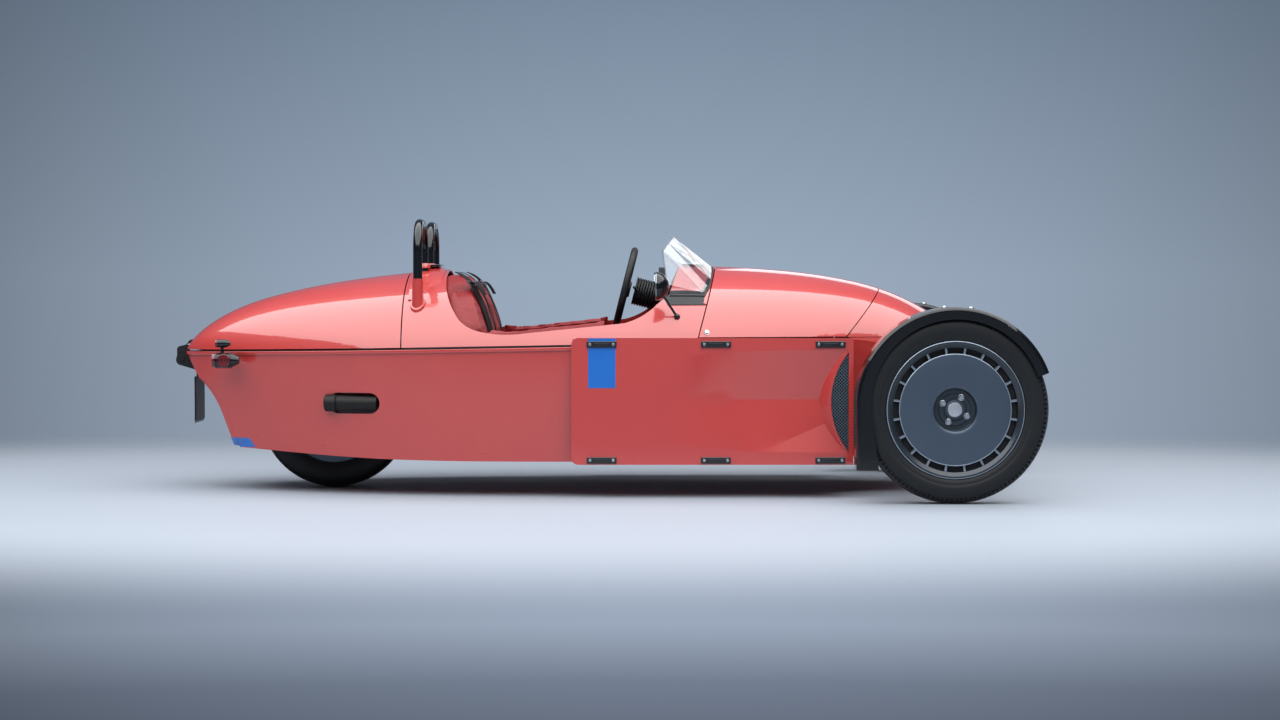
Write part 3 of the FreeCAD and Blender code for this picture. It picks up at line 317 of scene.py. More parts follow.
front_tyre = lathe(whole_section(FRONT_HALF), FRONT_STEPS)
notched(front_tyre, FRONT_NOTCHES, NOTCH_DEPTH, FRONT_STEPS)
for side, piece in on_front_wheels("road_tyre", front_tyre, tyre_rubber):
    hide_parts(f"front_tyre_{side}")

# ---------------------------------------------------------------- Front wheels
# Cast rims in dark satin lacquer: a flat aero disc joined to the rim by twenty box ribs, with a deep
# round opening at the middle for the hub. Four bolts hold each on, and a plain cap covers the hub nut.


def turned(mesh, axis, degrees):
    """Turns a mesh about an axis through the origin."""
    turn = Matrix.Rotation(math.radians(degrees), 3, axis)
    bmesh.ops.rotate(mesh, cent=(0, 0, 0), matrix=turn, verts=mesh.verts)
    return mesh


def block(length_mm, width_mm, height_mm):
    """A plain block round the origin."""
    mesh = bmesh.new()
    bmesh.ops.create_cube(mesh, size=1)
    bmesh.ops.scale(mesh, vec=(length_mm * MM, width_mm * MM, height_mm * MM), verts=mesh.verts)
    return mesh


def repeated(mesh, count):
    """Copies a mesh round the Y axis, count times in all."""
    geometry = everything(mesh)
    bmesh.ops.spin(mesh, geom=geometry, axis=(0, 1, 0), angle=2 * math.pi, steps=count, use_duplicate=True)
    bmesh.ops.remove_doubles(mesh, verts=mesh.verts, dist=1e-5)
    return mesh


def gathered(meshes):
    """Several meshes as one."""
    whole = bmesh.new()
    for mesh in meshes:
        scratch = bpy.data.meshes.new("scratch")
        mesh.to_mesh(scratch)
        mesh.free()
        whole.from_mesh(scratch)
        bpy.data.meshes.remove(scratch)
    return whole


def bolt(width_mm, height_mm, sides=6):
    """A bolt head standing outward (-Y) from the origin, with a washer and a socket."""
    washer_r = width_mm * 0.62
    washer = lathe([(0, 0), (0, washer_r), (1.2, washer_r), (1.6, width_mm * 0.56)], 24, closed=False)
    head = bmesh.new()
    foot_r, top_r = width_mm * 0.5 * MM, width_mm * 0.46 * MM
    bmesh.ops.create_cone(
        head, cap_ends=True, segments=sides, radius1=foot_r, radius2=top_r, depth=height_mm * MM
    )
    moved(turned(head, "X", 90), (0, -(height_mm / 2 + 1.4) * MM, 0))
    for inset_mm, sink_mm in ((width_mm * 0.14, 0), (0.2, height_mm * 0.5)):
        outer = [f for f in head.faces if f.normal.y < -0.9 and len(f.verts) == sides]
        bmesh.ops.inset_region(head, faces=outer, thickness=inset_mm * MM, depth=-sink_mm * MM)
    whole = gathered([washer, head])
    bmesh.ops.recalc_face_normals(whole, faces=whole.faces)
    return whole


# Satin wheel lacquer with metal flake, blue grey: a soft sheen that follows the light.
FLAKE = {"Metallic": 0.55, "Coat Weight": 0.25, "Coat Roughness": 0.3}
wheel_lacquer = finish_of("satin_wheel_lacquer", "#425060", 0.42, FLAKE)
mottled(wheel_lacquer, 220, "#3F4C5B", "#465465")
pitted(wheel_lacquer, 0.8, 0.02)
# The ribs and thin rings along the edges of disc and rim are pale bright metal, a painted highlight where
# they catch the light.
edge_highlight_metal = finish_of("painted_highlight_edges", "#8E9AA8", 0.38, {"Metallic": 0.6})
mottled(edge_highlight_metal, 60, "#8793A1", "#97A3B0")
pitted(edge_highlight_metal, 0.6, 0.02)
# A near black ring set inside the wheel behind the ribs: painted shade that keeps the openings between the
# ribs dark.
shade_behind_ribs = finish_of("painted_shade_behind_ribs", "#0B0C0F", 0.6)
pitted(shade_behind_ribs, 2, 0.05)
# The rim's flange has a darker, glossier coat than the disc; the hub's recess gets the same dark coat as
# painted shade in its hollow.
DEEP_COAT = {"Metallic": 0.4, "Coat Weight": 0.5, "Coat Roughness": 0.2}
rim_lacquer_and_recess_shade = finish_of("dark_rim_lacquer_and_recess_shade", "#222A33", 0.36, DEEP_COAT)
mottled(rim_lacquer_and_recess_shade, 150, "#1F272F", "#262F39")
pitted(rim_lacquer_and_recess_shade, 0.8, 0.02)

RIM = [
    (-54, 262), (-54, 271), (-50, 268.5), (-46, 256), (-40, 251), (40, 251), (46, 256), (49.5, 268.5),
    (53, 271.5), (56, 270.5), (57, 266.5), (55.5, 260), (51.5, 254), (47, 250.5), (44, 246),
    (34, 243.5), (-40, 242), (-50, 246),
]
DISC = [
    (30, 214), (36, 219.5), (41.5, 221.5), (44, 220), (45.2, 214), (46.2, 170), (46.6, 130),
    (46.4, 100), (45.2, 90), (42.5, 86), (37, 84.2), (24, 84), (20, 80), (19, 64), (22.5, 62),
    (22.5, 47), (19, 45), (18.5, 38), (20, 36.5), (26, 36), (27.5, 34), (27.5, 31), (24, 29.5), (22, 0),
    (10, 0), (10, 78), (24, 100), (34, 150),
]
# A ring inside the wheel behind the ribs, in painted shade.
SHADE_RING = [(20, 244), (16, 200), (8, 200), (12, 244)]
# The disc's edge ring and the rim's edge ring are thin pale lines of painted highlight.
DISC_EDGE_HIGHLIGHT = [(43.5, 217), (45.6, 217.6), (46.0, 219), (44.8, 221.0), (43.0, 221.4)]
RIM_EDGE_HIGHLIGHT = [(55.0, 267.5), (57.3, 267.9), (57.3, 269.0), (56.2, 270.9), (54.4, 271.6)]
# The hub's recess takes the dark rim coat as painted shade.
RECESS = [
    (38, 84.2), (37, 83.4), (25, 83.2), (20.8, 79.4), (19.8, 64.4), (23.2, 62.2), (23.2, 46.8),
    (19.8, 44.8), (19.2, 37), (17, 37), (17, 80), (22, 86),
]
RIB_COUNT, RIB_SIZE, RIB_OUT, RIB_RADIUS, FIRST_RIB = 20, (8.5, 18, 34), 34, 232, 9

ribs = moved(block(*RIB_SIZE), (0, -RIB_OUT * MM, RIB_RADIUS * MM))
rib_face = [f for f in ribs.faces if f.normal.y < -0.9]
bmesh.ops.inset_region(ribs, faces=rib_face, thickness=1.8 * MM, depth=-3 * MM)
repeated(turned(ribs, "Y", FIRST_RIB), RIB_COUNT)
for name, mesh, finish in (
    ("wheel_rim", lathe(RIM, 160), rim_lacquer_and_recess_shade),
    ("aero_disc", lathe(DISC, 160), wheel_lacquer),
    ("wheel_ribs", ribs, edge_highlight_metal),
    ("disc_edge_highlight", lathe(DISC_EDGE_HIGHLIGHT, 160), edge_highlight_metal),
    ("rim_edge_highlight", lathe(RIM_EDGE_HIGHLIGHT, 160), edge_highlight_metal),
    ("hub_recess", lathe(RECESS, 120), rim_lacquer_and_recess_shade),
):
    for side, piece in on_front_wheels(name, mesh, finish):
        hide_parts(f"front_rim_{side}")
on_front_wheels("rib_gap_shade_ring", lathe(SHADE_RING, 80), shade_behind_ribs)

# Zinc plated bolts on a 108 mm circle: bright, with the slight haze of plating.
BOLT_COUNT, BOLT_CIRCLE_R, BOLT_SEAT, FIRST_BOLT = 4, 54, 22.5, 28
bolt_steel = finish_of("zinc_plated_steel", "#C9CCD0", 0.28, {"Metallic": 1.0})
pitted(bolt_steel, 0.7, 0.03)
wheel_bolts = moved(bolt(20, 9), (0, -BOLT_SEAT * MM, BOLT_CIRCLE_R * MM))
repeated(turned(wheel_bolts, "Y", FIRST_BOLT), BOLT_COUNT)
for side, piece in on_front_wheels("wheel_bolts", wheel_bolts, bolt_steel):
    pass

# The cap over the hub nut is satin aluminium: pale, with a broad dull highlight.
HUB_CAP = [(24, 0), (24, 29), (29, 29), (31, 27), (31.8, 20), (32.4, 0)]
cap_metal = finish_of("satin_aluminium", "#C4C8CE", 0.36, {"Metallic": 0.9})
pitted(cap_metal, 0.5, 0.02)
for side, piece in on_front_wheels("hub_cap", lathe(HUB_CAP, 64, closed=False), cap_metal):
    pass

# ---------------------------------------------------------------- Rear wheel
# A wide car tyre on a dark lacquered rim, mostly inside the tail. The tread has four straight grooves
# and notched shoulders, moulded like the front ones, and the swing arm holds its axle.

REAR_STEPS, REAR_NOTCHES = 200, (296, 309)
REAR_HALF = [
    (0, 317), (8, 317), (10, 309.5), (17, 309.5), (19, 316.6), (44, 315.6), (46, 308), (53, 307.6),
    (55, 314.8), (70, 312.5), (79, 306.5), (87, 297), (92, 284), (95, 266), (94.4, 246), (90.5, 226),
    (86.5, 217.5), (85.5, 214.5), (84.6, 209), (79, 206), (78.4, 197), (77.4, 194.4),
]
rear_low, rear_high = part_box("rear_tyre")
rear_tyre_mesh = lathe(whole_section(REAR_HALF), REAR_STEPS)
notched(rear_tyre_mesh, REAR_NOTCHES, NOTCH_DEPTH, REAR_STEPS)
moved(rear_tyre_mesh, (rear_low + rear_high) / 2)
rear_tyre = new_piece("rear_road_tyre", rear_tyre_mesh, tyre_rubber, "rear_wheel")
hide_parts("rear_tyre")
dress(wheel_lacquer, "rear_rim")

# ---------------------------------------------------------------- Belt moulding and hull fixings
# The tub's top edge is rolled outward into a narrow lip that catches the light, with a black rubber seal
# above it all round. Blind rivets in body colour hold the tub to its frame.

SEAM_Z, SEAM_SLOPE = 0.621, 0.0195
LIP_LOW, LIP_HIGH, SEAL_HIGH = SEAM_Z - 0.023, SEAM_Z - 0.0085, SEAM_Z - 0.0045
SEAM_FRONT = -0.09


def skin_band(node, low, high, keep, slope=0.0):
    """The part of a node's outer skin between two heights, which may climb with x; in metres."""
    band = bmesh.new()
    band.from_mesh(nodes[node].data)
    for height, is_top in ((low, False), (high, True)):
        bmesh.ops.bisect_plane(
            band,
            geom=everything(band),
            plane_co=(0, 0, height),
            plane_no=(-slope, 0, 1),
            clear_inner=not is_top,
            clear_outer=is_top,
        )
    unwanted = [f for f in band.faces if not keep(f.calc_center_median(), f.normal)]
    bmesh.ops.delete(band, geom=unwanted, context="FACES")
    bmesh.ops.remove_doubles(band, verts=band.verts, dist=2e-5)
    return band


def thickened(band, thickness_mm):
    """Gives a band of skin a thickness: outward, or inward where it is negative."""
    bmesh.ops.recalc_face_normals(band, faces=band.faces)
    bmesh.ops.solidify(band, geom=band.faces[:], thickness=-thickness_mm * MM)
    bmesh.ops.recalc_face_normals(band, faces=band.faces)
    return band


def rounded(mesh, edges, radius_mm, segments):
    bmesh.ops.bevel(
        mesh, geom=edges, offset=radius_mm * MM, segments=segments, profile=0.5, affect="EDGES", material=-1
    )
    return mesh


def side_skin(place, normal):
    """True on the tub's sides behind the blades."""
    upright = abs(normal.z) < 0.5 and math.hypot(normal.x, normal.y) > 0.5
    return place.x < SEAM_FRONT and place.y * normal.y > 0 and upright


lip = thickened(skin_band("hull_tub", LIP_LOW, LIP_HIGH, side_skin, SEAM_SLOPE), 5.5)
rounded(lip, [e for e in lip.edges if e.calc_face_angle(0) > 1.0 and e.is_manifold], 2.2, 3)
belt_moulding = new_piece("belt_moulding", lip, coral, "body", crease=50)

# Extruded rubber: dead matt, so the seam reads as a dark line.
seal_rubber = finish_of("black_seal_rubber", "#08090A", 0.7)
pitted(seal_rubber, 2, 0.05)
dress(seal_rubber, "belt_seal")
seal = thickened(skin_band("hull_tub", LIP_HIGH, SEAL_HIGH, side_skin, SEAM_SLOPE), 1.5)
new_piece("hull_seal", seal, seal_rubber, "body", crease=50)


def on_skin(node, start, way):
    """Where a line meets a node, and the outward normal there."""
    _, place, normal, _ = nodes[node].ray_cast(Vector(start), Vector(way))
    return place, (normal if normal.dot(Vector(way)) < 0 else -normal)


def set_on(mesh, place, normal):
    """Turns a mesh that stands along -Y to stand along a normal, and sets it at a place."""
    turn = Vector((0, -1, 0)).rotation_difference(normal)
    bmesh.ops.rotate(mesh, cent=(0, 0, 0), matrix=turn.to_matrix(), verts=mesh.verts)
    return moved(mesh, place)


def both_sides(mesh):
    return gathered([opposite(mesh), mesh])


OUTSIDE_Y, INWARD = -1.2, (0, 1, 0)
RIVET = [(0, 5.2), (0.7, 5.0), (1.6, 3.4), (1.9, 1.6), (2.0, 0)]
RIVETS_AT = [
    (-1.349, 0.550), (-0.998, 0.560), (-1.410, 0.227), (-1.122, 0.202), (-0.785, 0.185), (-0.46, 0.176),
]
rivets = []
for x, z in RIVETS_AT:
    place, normal = on_skin("hull_tub", (x, OUTSIDE_Y, z), INWARD)
    rivets.append(set_on(lathe(RIVET, 20, closed=False), place, normal))
new_piece("hull_rivets", both_sides(gathered(rivets)), coral, "body")

# Quarter turn fasteners hold the bonnet's lower corners: a button in a raised ring. Chrome plate mirrors
# its surroundings, so each is a bright point.
BUTTON = [(0, 11), (2.2, 11), (3.2, 9.8), (2.6, 8.4), (1.6, 8), (3.4, 7.4), (4.6, 5), (5, 0)]
chrome = finish_of("chrome_plate", "#D5D8DC", 0.08, {"Metallic": 1.0})
pitted(chrome, 30, 0.02)
BUTTON_X, BUTTON_Z = 0.452, 0.668
place, normal = on_skin("bonnet", (BUTTON_X, OUTSIDE_Y, BUTTON_Z), INWARD)
buttons = both_sides(set_on(lathe(BUTTON, 32, closed=False), place, normal))
new_piece("bonnet_latches", buttons, chrome, "bonnet")

# ---------------------------------------------------------------- Side blades
# Moulded panels bolted to the shelves through six black steel clips each. A blue film with square
# corners runs over the top edge near the rear. The intake is filled with woven wire.

CLIP_EDGE_X, CLIP_EDGE_Z, CLIP_BOLT_STEP = 0.060, 0.013, 0.047
clip_low, clip_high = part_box("blade_clips")
clip_rows = (clip_low.z + CLIP_EDGE_Z, clip_high.z - CLIP_EDGE_Z)
clip_columns = (clip_low.x + CLIP_EDGE_X, (clip_low.x + clip_high.x) / 2, clip_high.x - CLIP_EDGE_X)

# Black coated steel: a half gloss coat that shows the pressing's rounded edges.
HALF_GLOSS = {"Coat Weight": 0.4, "Coat Roughness": 0.2}
clip_steel = finish_of("black_coated_steel", "#0A0C10", 0.34, HALF_GLOSS)
pitted(clip_steel, 1.2, 0.03)
dress(clip_steel, "blade_clips")

clip_bolts, clip_pressings = [], []
for x in clip_columns:
    for z in clip_rows:
        for step in (-CLIP_BOLT_STEP, CLIP_BOLT_STEP):
            clip_bolts.append(moved(bolt(10, 2.6), (x + step, clip_low.y, z)))
        pressing = block(62, 2.4, 11)
        corners = [e for e in pressing.edges if abs((e.verts[0].co - e.verts[1].co).y) > 1e-4]
        rounded(pressing, corners, 5.2, 6)
        rounded(pressing, [e for e in pressing.edges if all(v.co.y < 0 for v in e.verts)], 1.0, 2)
        clip_pressings.append(moved(pressing, (x, clip_low.y - 0.6 * MM, z)))
new_piece("clip_bolts", both_sides(gathered(clip_bolts)), bolt_steel, "body")
pressings = new_piece("clip_pressings", both_sides(gathered(clip_pressings)), clip_steel, "body")

BLADE_FACE = 0.618
blade_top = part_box("side_blades")[1].z


def dished_blade(side):
    """A blade's outer skin, its folds pressed inward from the flat border, with its sheet's thickness."""
    skin = bmesh.new()
    skin.from_mesh(nodes["side_blades"].data)
    unwanted = [f for f in skin.faces if f.calc_center_median().y * side < 0 or f.normal.y * side < 0.1]
    bmesh.ops.delete(skin, geom=unwanted, context="FACES")
    for vertex in skin.verts:
        proud = abs(vertex.co.y) - BLADE_FACE
        if proud > 0:
            vertex.co.y = side * (BLADE_FACE - proud)
    bmesh.ops.remove_doubles(skin, verts=skin.verts, dist=2e-5)
    return thickened(skin, -1.6)


blades = new_piece("dished_blades", gathered([dished_blade(-1), dished_blade(1)]), coral, "body", crease=3)
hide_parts("side_blades")

# Cast vinyl film: an even saturated blue under its own thin gloss.
FILM_SIZE, FILM_X, FILM_DROP = (110.8, 0.6, 200.5), 0.0269, 0.0015
THIN_GLOSS = {"Coat Weight": 0.6, "Coat Roughness": 0.08}
blue_film = finish_of("blue_vinyl_film", "#0B62B8", 0.32, THIN_GLOSS)
mottled(blue_film, 90, "#0A5FB3", "#0D66BF")
pitted(blue_film, 6, 0.02)
film_z = blade_top - FILM_DROP - FILM_SIZE[2] / 2 * MM
film = moved(block(*FILM_SIZE), (FILM_X, -BLADE_FACE - 0.2 * MM, film_z))
new_piece("blue_stripes", both_sides(film), blue_film, "body")


FOOT_BAND_FRONT, FOOT_BAND_LOW, FOOT_BAND_HIGH = -1.449, 0.183, 0.221


def tail_skin(place, normal):
    """True on the cut tail and the last of the sides."""
    return place.x < FOOT_BAND_FRONT and (normal.x < -0.5 or place.y * normal.y > 0.05)


foot_band = thickened(skin_band("hull_tub", FOOT_BAND_LOW, FOOT_BAND_HIGH, tail_skin), 0.5)
new_piece("blue_foot_band", foot_band, blue_film, "body", crease=50)

# Woven steel wire, crossed at 45 degrees: fine light strands over a dark duct. The strands stand 9.52 mm
# apart, coarser than real ones, so that they show.
WAVE_LENGTH = 100 * math.pi  # millimetres between the bands of a wave texture at scale 1
STRAND_PITCH = 9.52
woven_wire = finish_of("woven_wire", "#34424E", 0.4, {"Metallic": 0.6})
in_mesh = add(woven_wire, "ShaderNodeTexCoord").outputs["Object"]
finer = [WAVE_LENGTH / STRAND_PITCH] * 3
strands = []
for lean in (45, -45):
    leaning = {"Vector": in_mesh, "Rotation": (0, math.radians(lean), 0), "Scale": finer}
    bands = {"Vector": add(woven_wire, "ShaderNodeMapping", leaning).outputs[0], "Scale": 1.0}
    wave = add(woven_wire, "ShaderNodeTexWave", bands, bands_direction="X")
    strands.append(wave.outputs["Color"])
crossed = {"Fac": 1.0, "Color1": strands[0], "Color2": strands[1]}
cross = add(woven_wire, "ShaderNodeMixRGB", crossed, blend_type="LIGHTEN")
width = {"Value": cross.outputs[0], "From Min": 0.72, "From Max": 0.95}
strand = add(woven_wire, "ShaderNodeMapRange", width)
shades = {"Fac": strand.outputs[0], "Color1": "#050607", "Color2": "#5B6B78"}
tone = add(woven_wire, "ShaderNodeMixRGB", shades)
rise = add(woven_wire, "ShaderNodeBump", {"Height": strand.outputs[0], "Distance": 1.2 * MM})
woven_wire.node_tree.links.new(tone.outputs[0], shader_of(woven_wire).inputs["Base Color"])
woven_wire.node_tree.links.new(rise.outputs[0], shader_of(woven_wire).inputs["Normal"])
dress(woven_wire, "intake_mesh")

# ---------------------------------------------------------------- Front guards
# Narrow moulded guards that turn with the wheels, each held from below by two bolts whose bright domed
# heads show on the crown.

# Gloss black enamel, as on the hoops, mirrors and lamps: almost black, with a sharp pale reflection.
ENAMEL = {"Specular IOR Level": 0.2, "Coat Weight": 0.7, "Coat Roughness": 0.04, "Coat IOR": 1.45}
gloss_black = finish_of("black_gloss_enamel", "#040507", 0.2, ENAMEL)
mottled(gloss_black, 120, "#040507", "#07080B")
pitted(gloss_black, 5, 0.02)
dress(gloss_black, "guard_left", "guard_right", "roll_hoops", "mirrors", "headlamp_shells", "tail_lamps")

GUARD_BOLTS_X = (1.379, 1.486)
DOMED_HEAD = [(0, 15), (1.5, 15), (2, 11), (5, 10), (7, 7), (7.6, 0)]
guard_bolts = []
for x in GUARD_BOLTS_X:
    place, normal = on_skin("guard_right", (x, front_hub.y, 1.0), (0, 0, -1))
    guard_bolts.append(set_on(lathe(DOMED_HEAD, 28, closed=False), place, normal))
guard_fixings = gathered(guard_bolts)
for mesh, side in ((opposite(guard_fixings), "left"), (guard_fixings, "right")):
    new_piece(f"guard_bolts_{side}", mesh, bolt_steel, f"steer_{side}")

# ---------------------------------------------------------------- Seats and cockpit trim
# Foam pads in coral leather: two backs that rise to the hump, two seat cushions with sewn flutes, and a
# roll along each sill, each with its hide stretched over a board of its own.

PEBBLE_MM, FOLD_MM = 2.2, 45


def leather(name, dark, light):
    """Grained hide: a pebbled grain about 2 mm across, long soft folds, and a tone that drifts at random.
    """
    material = finish_of(name, dark, 0.46, {"Specular IOR Level": 0.28})
    mottled(material, 70, dark, light)
    at = add(material, "ShaderNodeTexCoord").outputs["Object"]
    pebbled = {"Vector": at, "Scale": 1000 / PEBBLE_MM}
    pebbles = add(material, "ShaderNodeTexVoronoi", pebbled, feature="SMOOTH_F1")
    folds = add(material, "ShaderNodeTexNoise", {"Vector": at, "Scale": 1000 / FOLD_MM, "Detail": 4.0})
    grain = add(
        material, "ShaderNodeBump", {"Height": pebbles.outputs[0], "Distance": 0.12 * MM, "Strength": 0.7}
    )
    creased = {"Height": folds.outputs[0], "Distance": 1.4 * MM, "Normal": grain.outputs[0]}
    creases = add(material, "ShaderNodeBump", creased)
    material.node_tree.links.new(creases.outputs[0], shader_of(material).inputs["Normal"])
    return material


coral_hide = leather("coral_leather", "#761B1F", "#832326")
black_hide = leather("black_leather", "#0B0B0D", "#141417")
CLOTH_FRAMES = 15


def as_mesh(piece):
    """Applies the piece's modifiers to its mesh."""
    evaluated = piece.evaluated_get(bpy.context.evaluated_depsgraph_get())
    shape = bpy.data.meshes.new_from_object(evaluated)
    piece.modifiers.clear()
    piece.data = shape


def stuffed(name, node, side, voxel_mm, inset_mm, cap_mm):
    """A pad of foam under leather: the node's solid on one side of the car, blown up a little as cloth."""
    form = bmesh.new()
    form.from_mesh(nodes[node].data)
    other_side = [f for f in form.faces if f.calc_center_median().y * side < 0]
    bmesh.ops.delete(form, geom=other_side, context="FACES")
    bmesh.ops.recalc_face_normals(form, faces=form.faces)
    pad = new_piece(name, form, coral_hide, "body", crease=180)
    remesh = pad.modifiers.new("even", "REMESH")
    remesh.mode, remesh.voxel_size = "VOXEL", voxel_mm * MM
    drawn_in = pad.modifiers.new("drawn_in", "DISPLACE")
    drawn_in.strength, drawn_in.mid_level = -inset_mm * MM, 0.0
    as_mesh(pad)
    at_rest = [v.co.copy() for v in pad.data.vertices]
    cloth = pad.modifiers.new("cloth", "CLOTH")
    cloth.settings.quality = 4
    cloth.settings.mass = 0.4
    cloth.settings.use_pressure = True
    cloth.settings.uniform_pressure_force = 4.0
    cloth.settings.effector_weights.gravity = 0.0
    for step in range(1, CLOTH_FRAMES + 1):
        bpy.context.scene.frame_set(step)
    as_mesh(pad)
    bpy.context.scene.frame_set(1)
    for vertex, start in zip(pad.data.vertices, at_rest):
        shift = vertex.co - start
        if shift.length > cap_mm * MM:
            vertex.co = start + shift * (cap_mm * MM / shift.length)
    finer = pad.modifiers.new("finer", "SUBSURF")
    finer.levels = finer.render_levels = 1
    as_mesh(pad)
    pad.data.shade_smooth()
    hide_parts(node)
    return pad


FLUTE_FADE, FLUTE_RISE = 0.35, 4  # where the channels start round the pad's edge, and how fast


def fluted(pad, pitch_mm, depth_mm, middle_y, half_mm, facing):
    """Sews straight channels into the side of a pad that faces one way."""
    normals = [vertex.normal.copy() for vertex in pad.data.vertices]
    for vertex, normal in zip(pad.data.vertices, normals):
        across = (vertex.co.y - middle_y) / MM
        turned_to = normal.dot(facing)
        if abs(across) < half_mm and turned_to > FLUTE_FADE:
            sink = 1 - abs(math.sin(math.pi * across / pitch_mm))
            share = min(1.0, (turned_to - FLUTE_FADE) * FLUTE_RISE)
            vertex.co -= normal * (depth_mm * MM * sink**3 * share)


SHOULDER_Y, SHOULDER_X, SHOULDER_RUN = 300, -0.600, 0.060
BACK_RATE, BACK_MOST, INWARD_RATE, INWARD_MOST = 0.0021, 22.0, 0.17, 34.0


def rounded_shoulder(place):
    """Draws the front of a seat back rearward towards its outer side, as on a bucket seat."""
    outboard = max(0.0, abs(place.y) / MM - SHOULDER_Y)
    forward = min(1.0, max(0.0, (place.x - SHOULDER_X) / SHOULDER_RUN))
    place.x -= min(BACK_MOST, BACK_RATE * outboard**2) * forward * MM
    place.y -= math.copysign(min(INWARD_MOST, INWARD_RATE * outboard) * MM, place.y)


SEAT_MIDDLE = 0.265
FLUTE_PITCH, FLUTE_DEPTH, BACK_HALF, CUSHION_HALF = 60, 7, 185, 155
BACK_FACES, CUSHION_FACES = Vector((0.9, 0, 0.3)).normalized(), Vector((0, 0, 1))
for side, word in ((-1, "right"), (1, "left")):
    back = stuffed(f"seat_back_{word}", "seat_backs", side, voxel_mm=10, inset_mm=4, cap_mm=7)
    for vertex in back.data.vertices:
        rounded_shoulder(vertex.co)
    fluted(back, FLUTE_PITCH, FLUTE_DEPTH, side * SEAT_MIDDLE, BACK_HALF, BACK_FACES)
    cushion = stuffed(
        f"seat_cushion_{word}", "seat_cushions", side, voxel_mm=10, inset_mm=7, cap_mm=14
    )
    fluted(cushion, FLUTE_PITCH, FLUTE_DEPTH, side * SEAT_MIDDLE, CUSHION_HALF, CUSHION_FACES)
    stuffed(f"sill_pad_{word}", "cockpit_padding", side, voxel_mm=7, inset_mm=3, cap_mm=7)

# ---------------------------------------------------------------- Harnesses
# Two shoulder straps a seat, in black webbing. Each comes over the top of the back and lies down its
# front, with a steel slide and a loose tail near the top.

# Woven polyester: dull, with fine cross ribs 2.8 mm apart that break up the light.
WEB_RIB_PITCH = 2.8274
webbing = finish_of("black_webbing", "#0A0A0C", 0.62, {"Specular IOR Level": 0.2, "Sheen Weight": 0.03})
along = add(webbing, "ShaderNodeTexCoord").outputs["Object"]
ribbed = add(
    webbing,
    "ShaderNodeTexWave",
    {"Vector": along, "Scale": WAVE_LENGTH / WEB_RIB_PITCH, "Distortion": 0.3},
    bands_direction="Z",
)
woven = add(webbing, "ShaderNodeBump", {"Height": ribbed.outputs["Fac"], "Distance": 0.25 * MM})
tints = {"Fac": ribbed.outputs["Fac"], "Color1": "#040405", "Color2": "#0C0D0F"}
tint = add(webbing, "ShaderNodeMixRGB", tints)
webbing.node_tree.links.new(woven.outputs[0], shader_of(webbing).inputs["Normal"])
webbing.node_tree.links.new(tint.outputs[0], shader_of(webbing).inputs["Base Color"])


def ribbon(path_mm, y_mm, width_mm, thickness_mm):
    """A flat strap along a side view path of (x, z), made smooth."""
    strap = bmesh.new()
    verts = [strap.verts.new((x * MM, (y_mm - width_mm / 2) * MM, z * MM)) for x, z in path_mm]
    edges = [strap.edges.new(ends) for ends in zip(verts, verts[1:])]
    bmesh.ops.subdivide_edges(strap, edges=edges, cuts=3, smooth=0.0)
    for _ in range(4):
        inner = [v for v in strap.verts if len(v.link_edges) == 2]
        bmesh.ops.smooth_vert(strap, verts=inner, factor=0.5, use_axis_x=True, use_axis_z=True)
    drawn = bmesh.ops.extrude_edge_only(strap, edges=strap.edges[:])
    moving = [v for v in drawn["geom"] if isinstance(v, bmesh.types.BMVert)]
    bmesh.ops.translate(strap, vec=(0, width_mm * MM, 0), verts=moving)
    return thickened(strap, thickness_mm)


BACK_FRONT = [
    (-572, 912), (-544, 904), (-514, 884), (-488, 851), (-465, 802), (-445, 753), (-429, 706),
    (-419, 660), (-407, 540), (-397, 430), (-390, 345),
]
TAIL_LOOSE = [(-505, 868), (-490, 872), (-474, 862), (-459, 842), (-447, 818)]
STRAPS_Y = (-378, -195)
SLIDE_SIZE, SLIDE_LEAN, SLIDE_X, SLIDE_Z = (30, 62, 7), 48, -0.500, 0.866
straps, slides = [], []
for y in STRAPS_Y:
    straps.append(ribbon(BACK_FRONT, y, 48, 2.2))
    straps.append(ribbon(TAIL_LOOSE, y, 46, 2.0))
    slide = block(*SLIDE_SIZE)
    slide_top = [f for f in slide.faces if f.normal.z > 0.9]
    bmesh.ops.inset_region(slide, faces=slide_top, thickness=6 * MM, depth=-3 * MM)
    rounded(slide, slide.edges[:], 1.2, 2)
    slides.append(moved(turned(slide, "Y", SLIDE_LEAN), (SLIDE_X, y * MM, SLIDE_Z)))
for part in straps + slides:
    for vertex in part.verts:
        rounded_shoulder(vertex.co)
harness = new_piece("harness_straps", both_sides(gathered(straps)), webbing, "body", crease=50)

# Dark nickel plate on pressed steel: a grey metal glint against the webbing.
dark_steel = finish_of("dark_plated_steel", "#5A6068", 0.3, {"Metallic": 1.0})
pitted(dark_steel, 1.0, 0.03)
new_piece("harness_slides", both_sides(gathered(slides)), dark_steel, "body")

# ---------------------------------------------------------------- Floor, pedals and dashboard
# Carpet on the floor and tunnel, satin black pedals and lever, and a body width panel with two round
# instruments and a row of switches.

# Loop pile carpet: black and lightless, speckled by its loops 2.5 mm across.
PILE = {"Sheen Weight": 0.3, "Sheen Roughness": 0.6}
carpet = finish_of("black_loop_carpet", "#0B0B0D", 0.95, PILE)
mottled(carpet, 3, "#060607", "#151518")
pitted(carpet, 2.5, 1.2)
dress(carpet, "floor_trim")
# Moulded plastic with a leather grain: it spreads each highlight wide.
HALF_SHINE = {"Specular IOR Level": 0.4}
grained_plastic = finish_of("grained_black_plastic", "#0C0D0F", 0.5, HALF_SHINE)
mottled(grained_plastic, 80, "#0A0B0C", "#101114")
pitted(grained_plastic, 1.4, 0.12)
dress(grained_plastic, "dashboard")
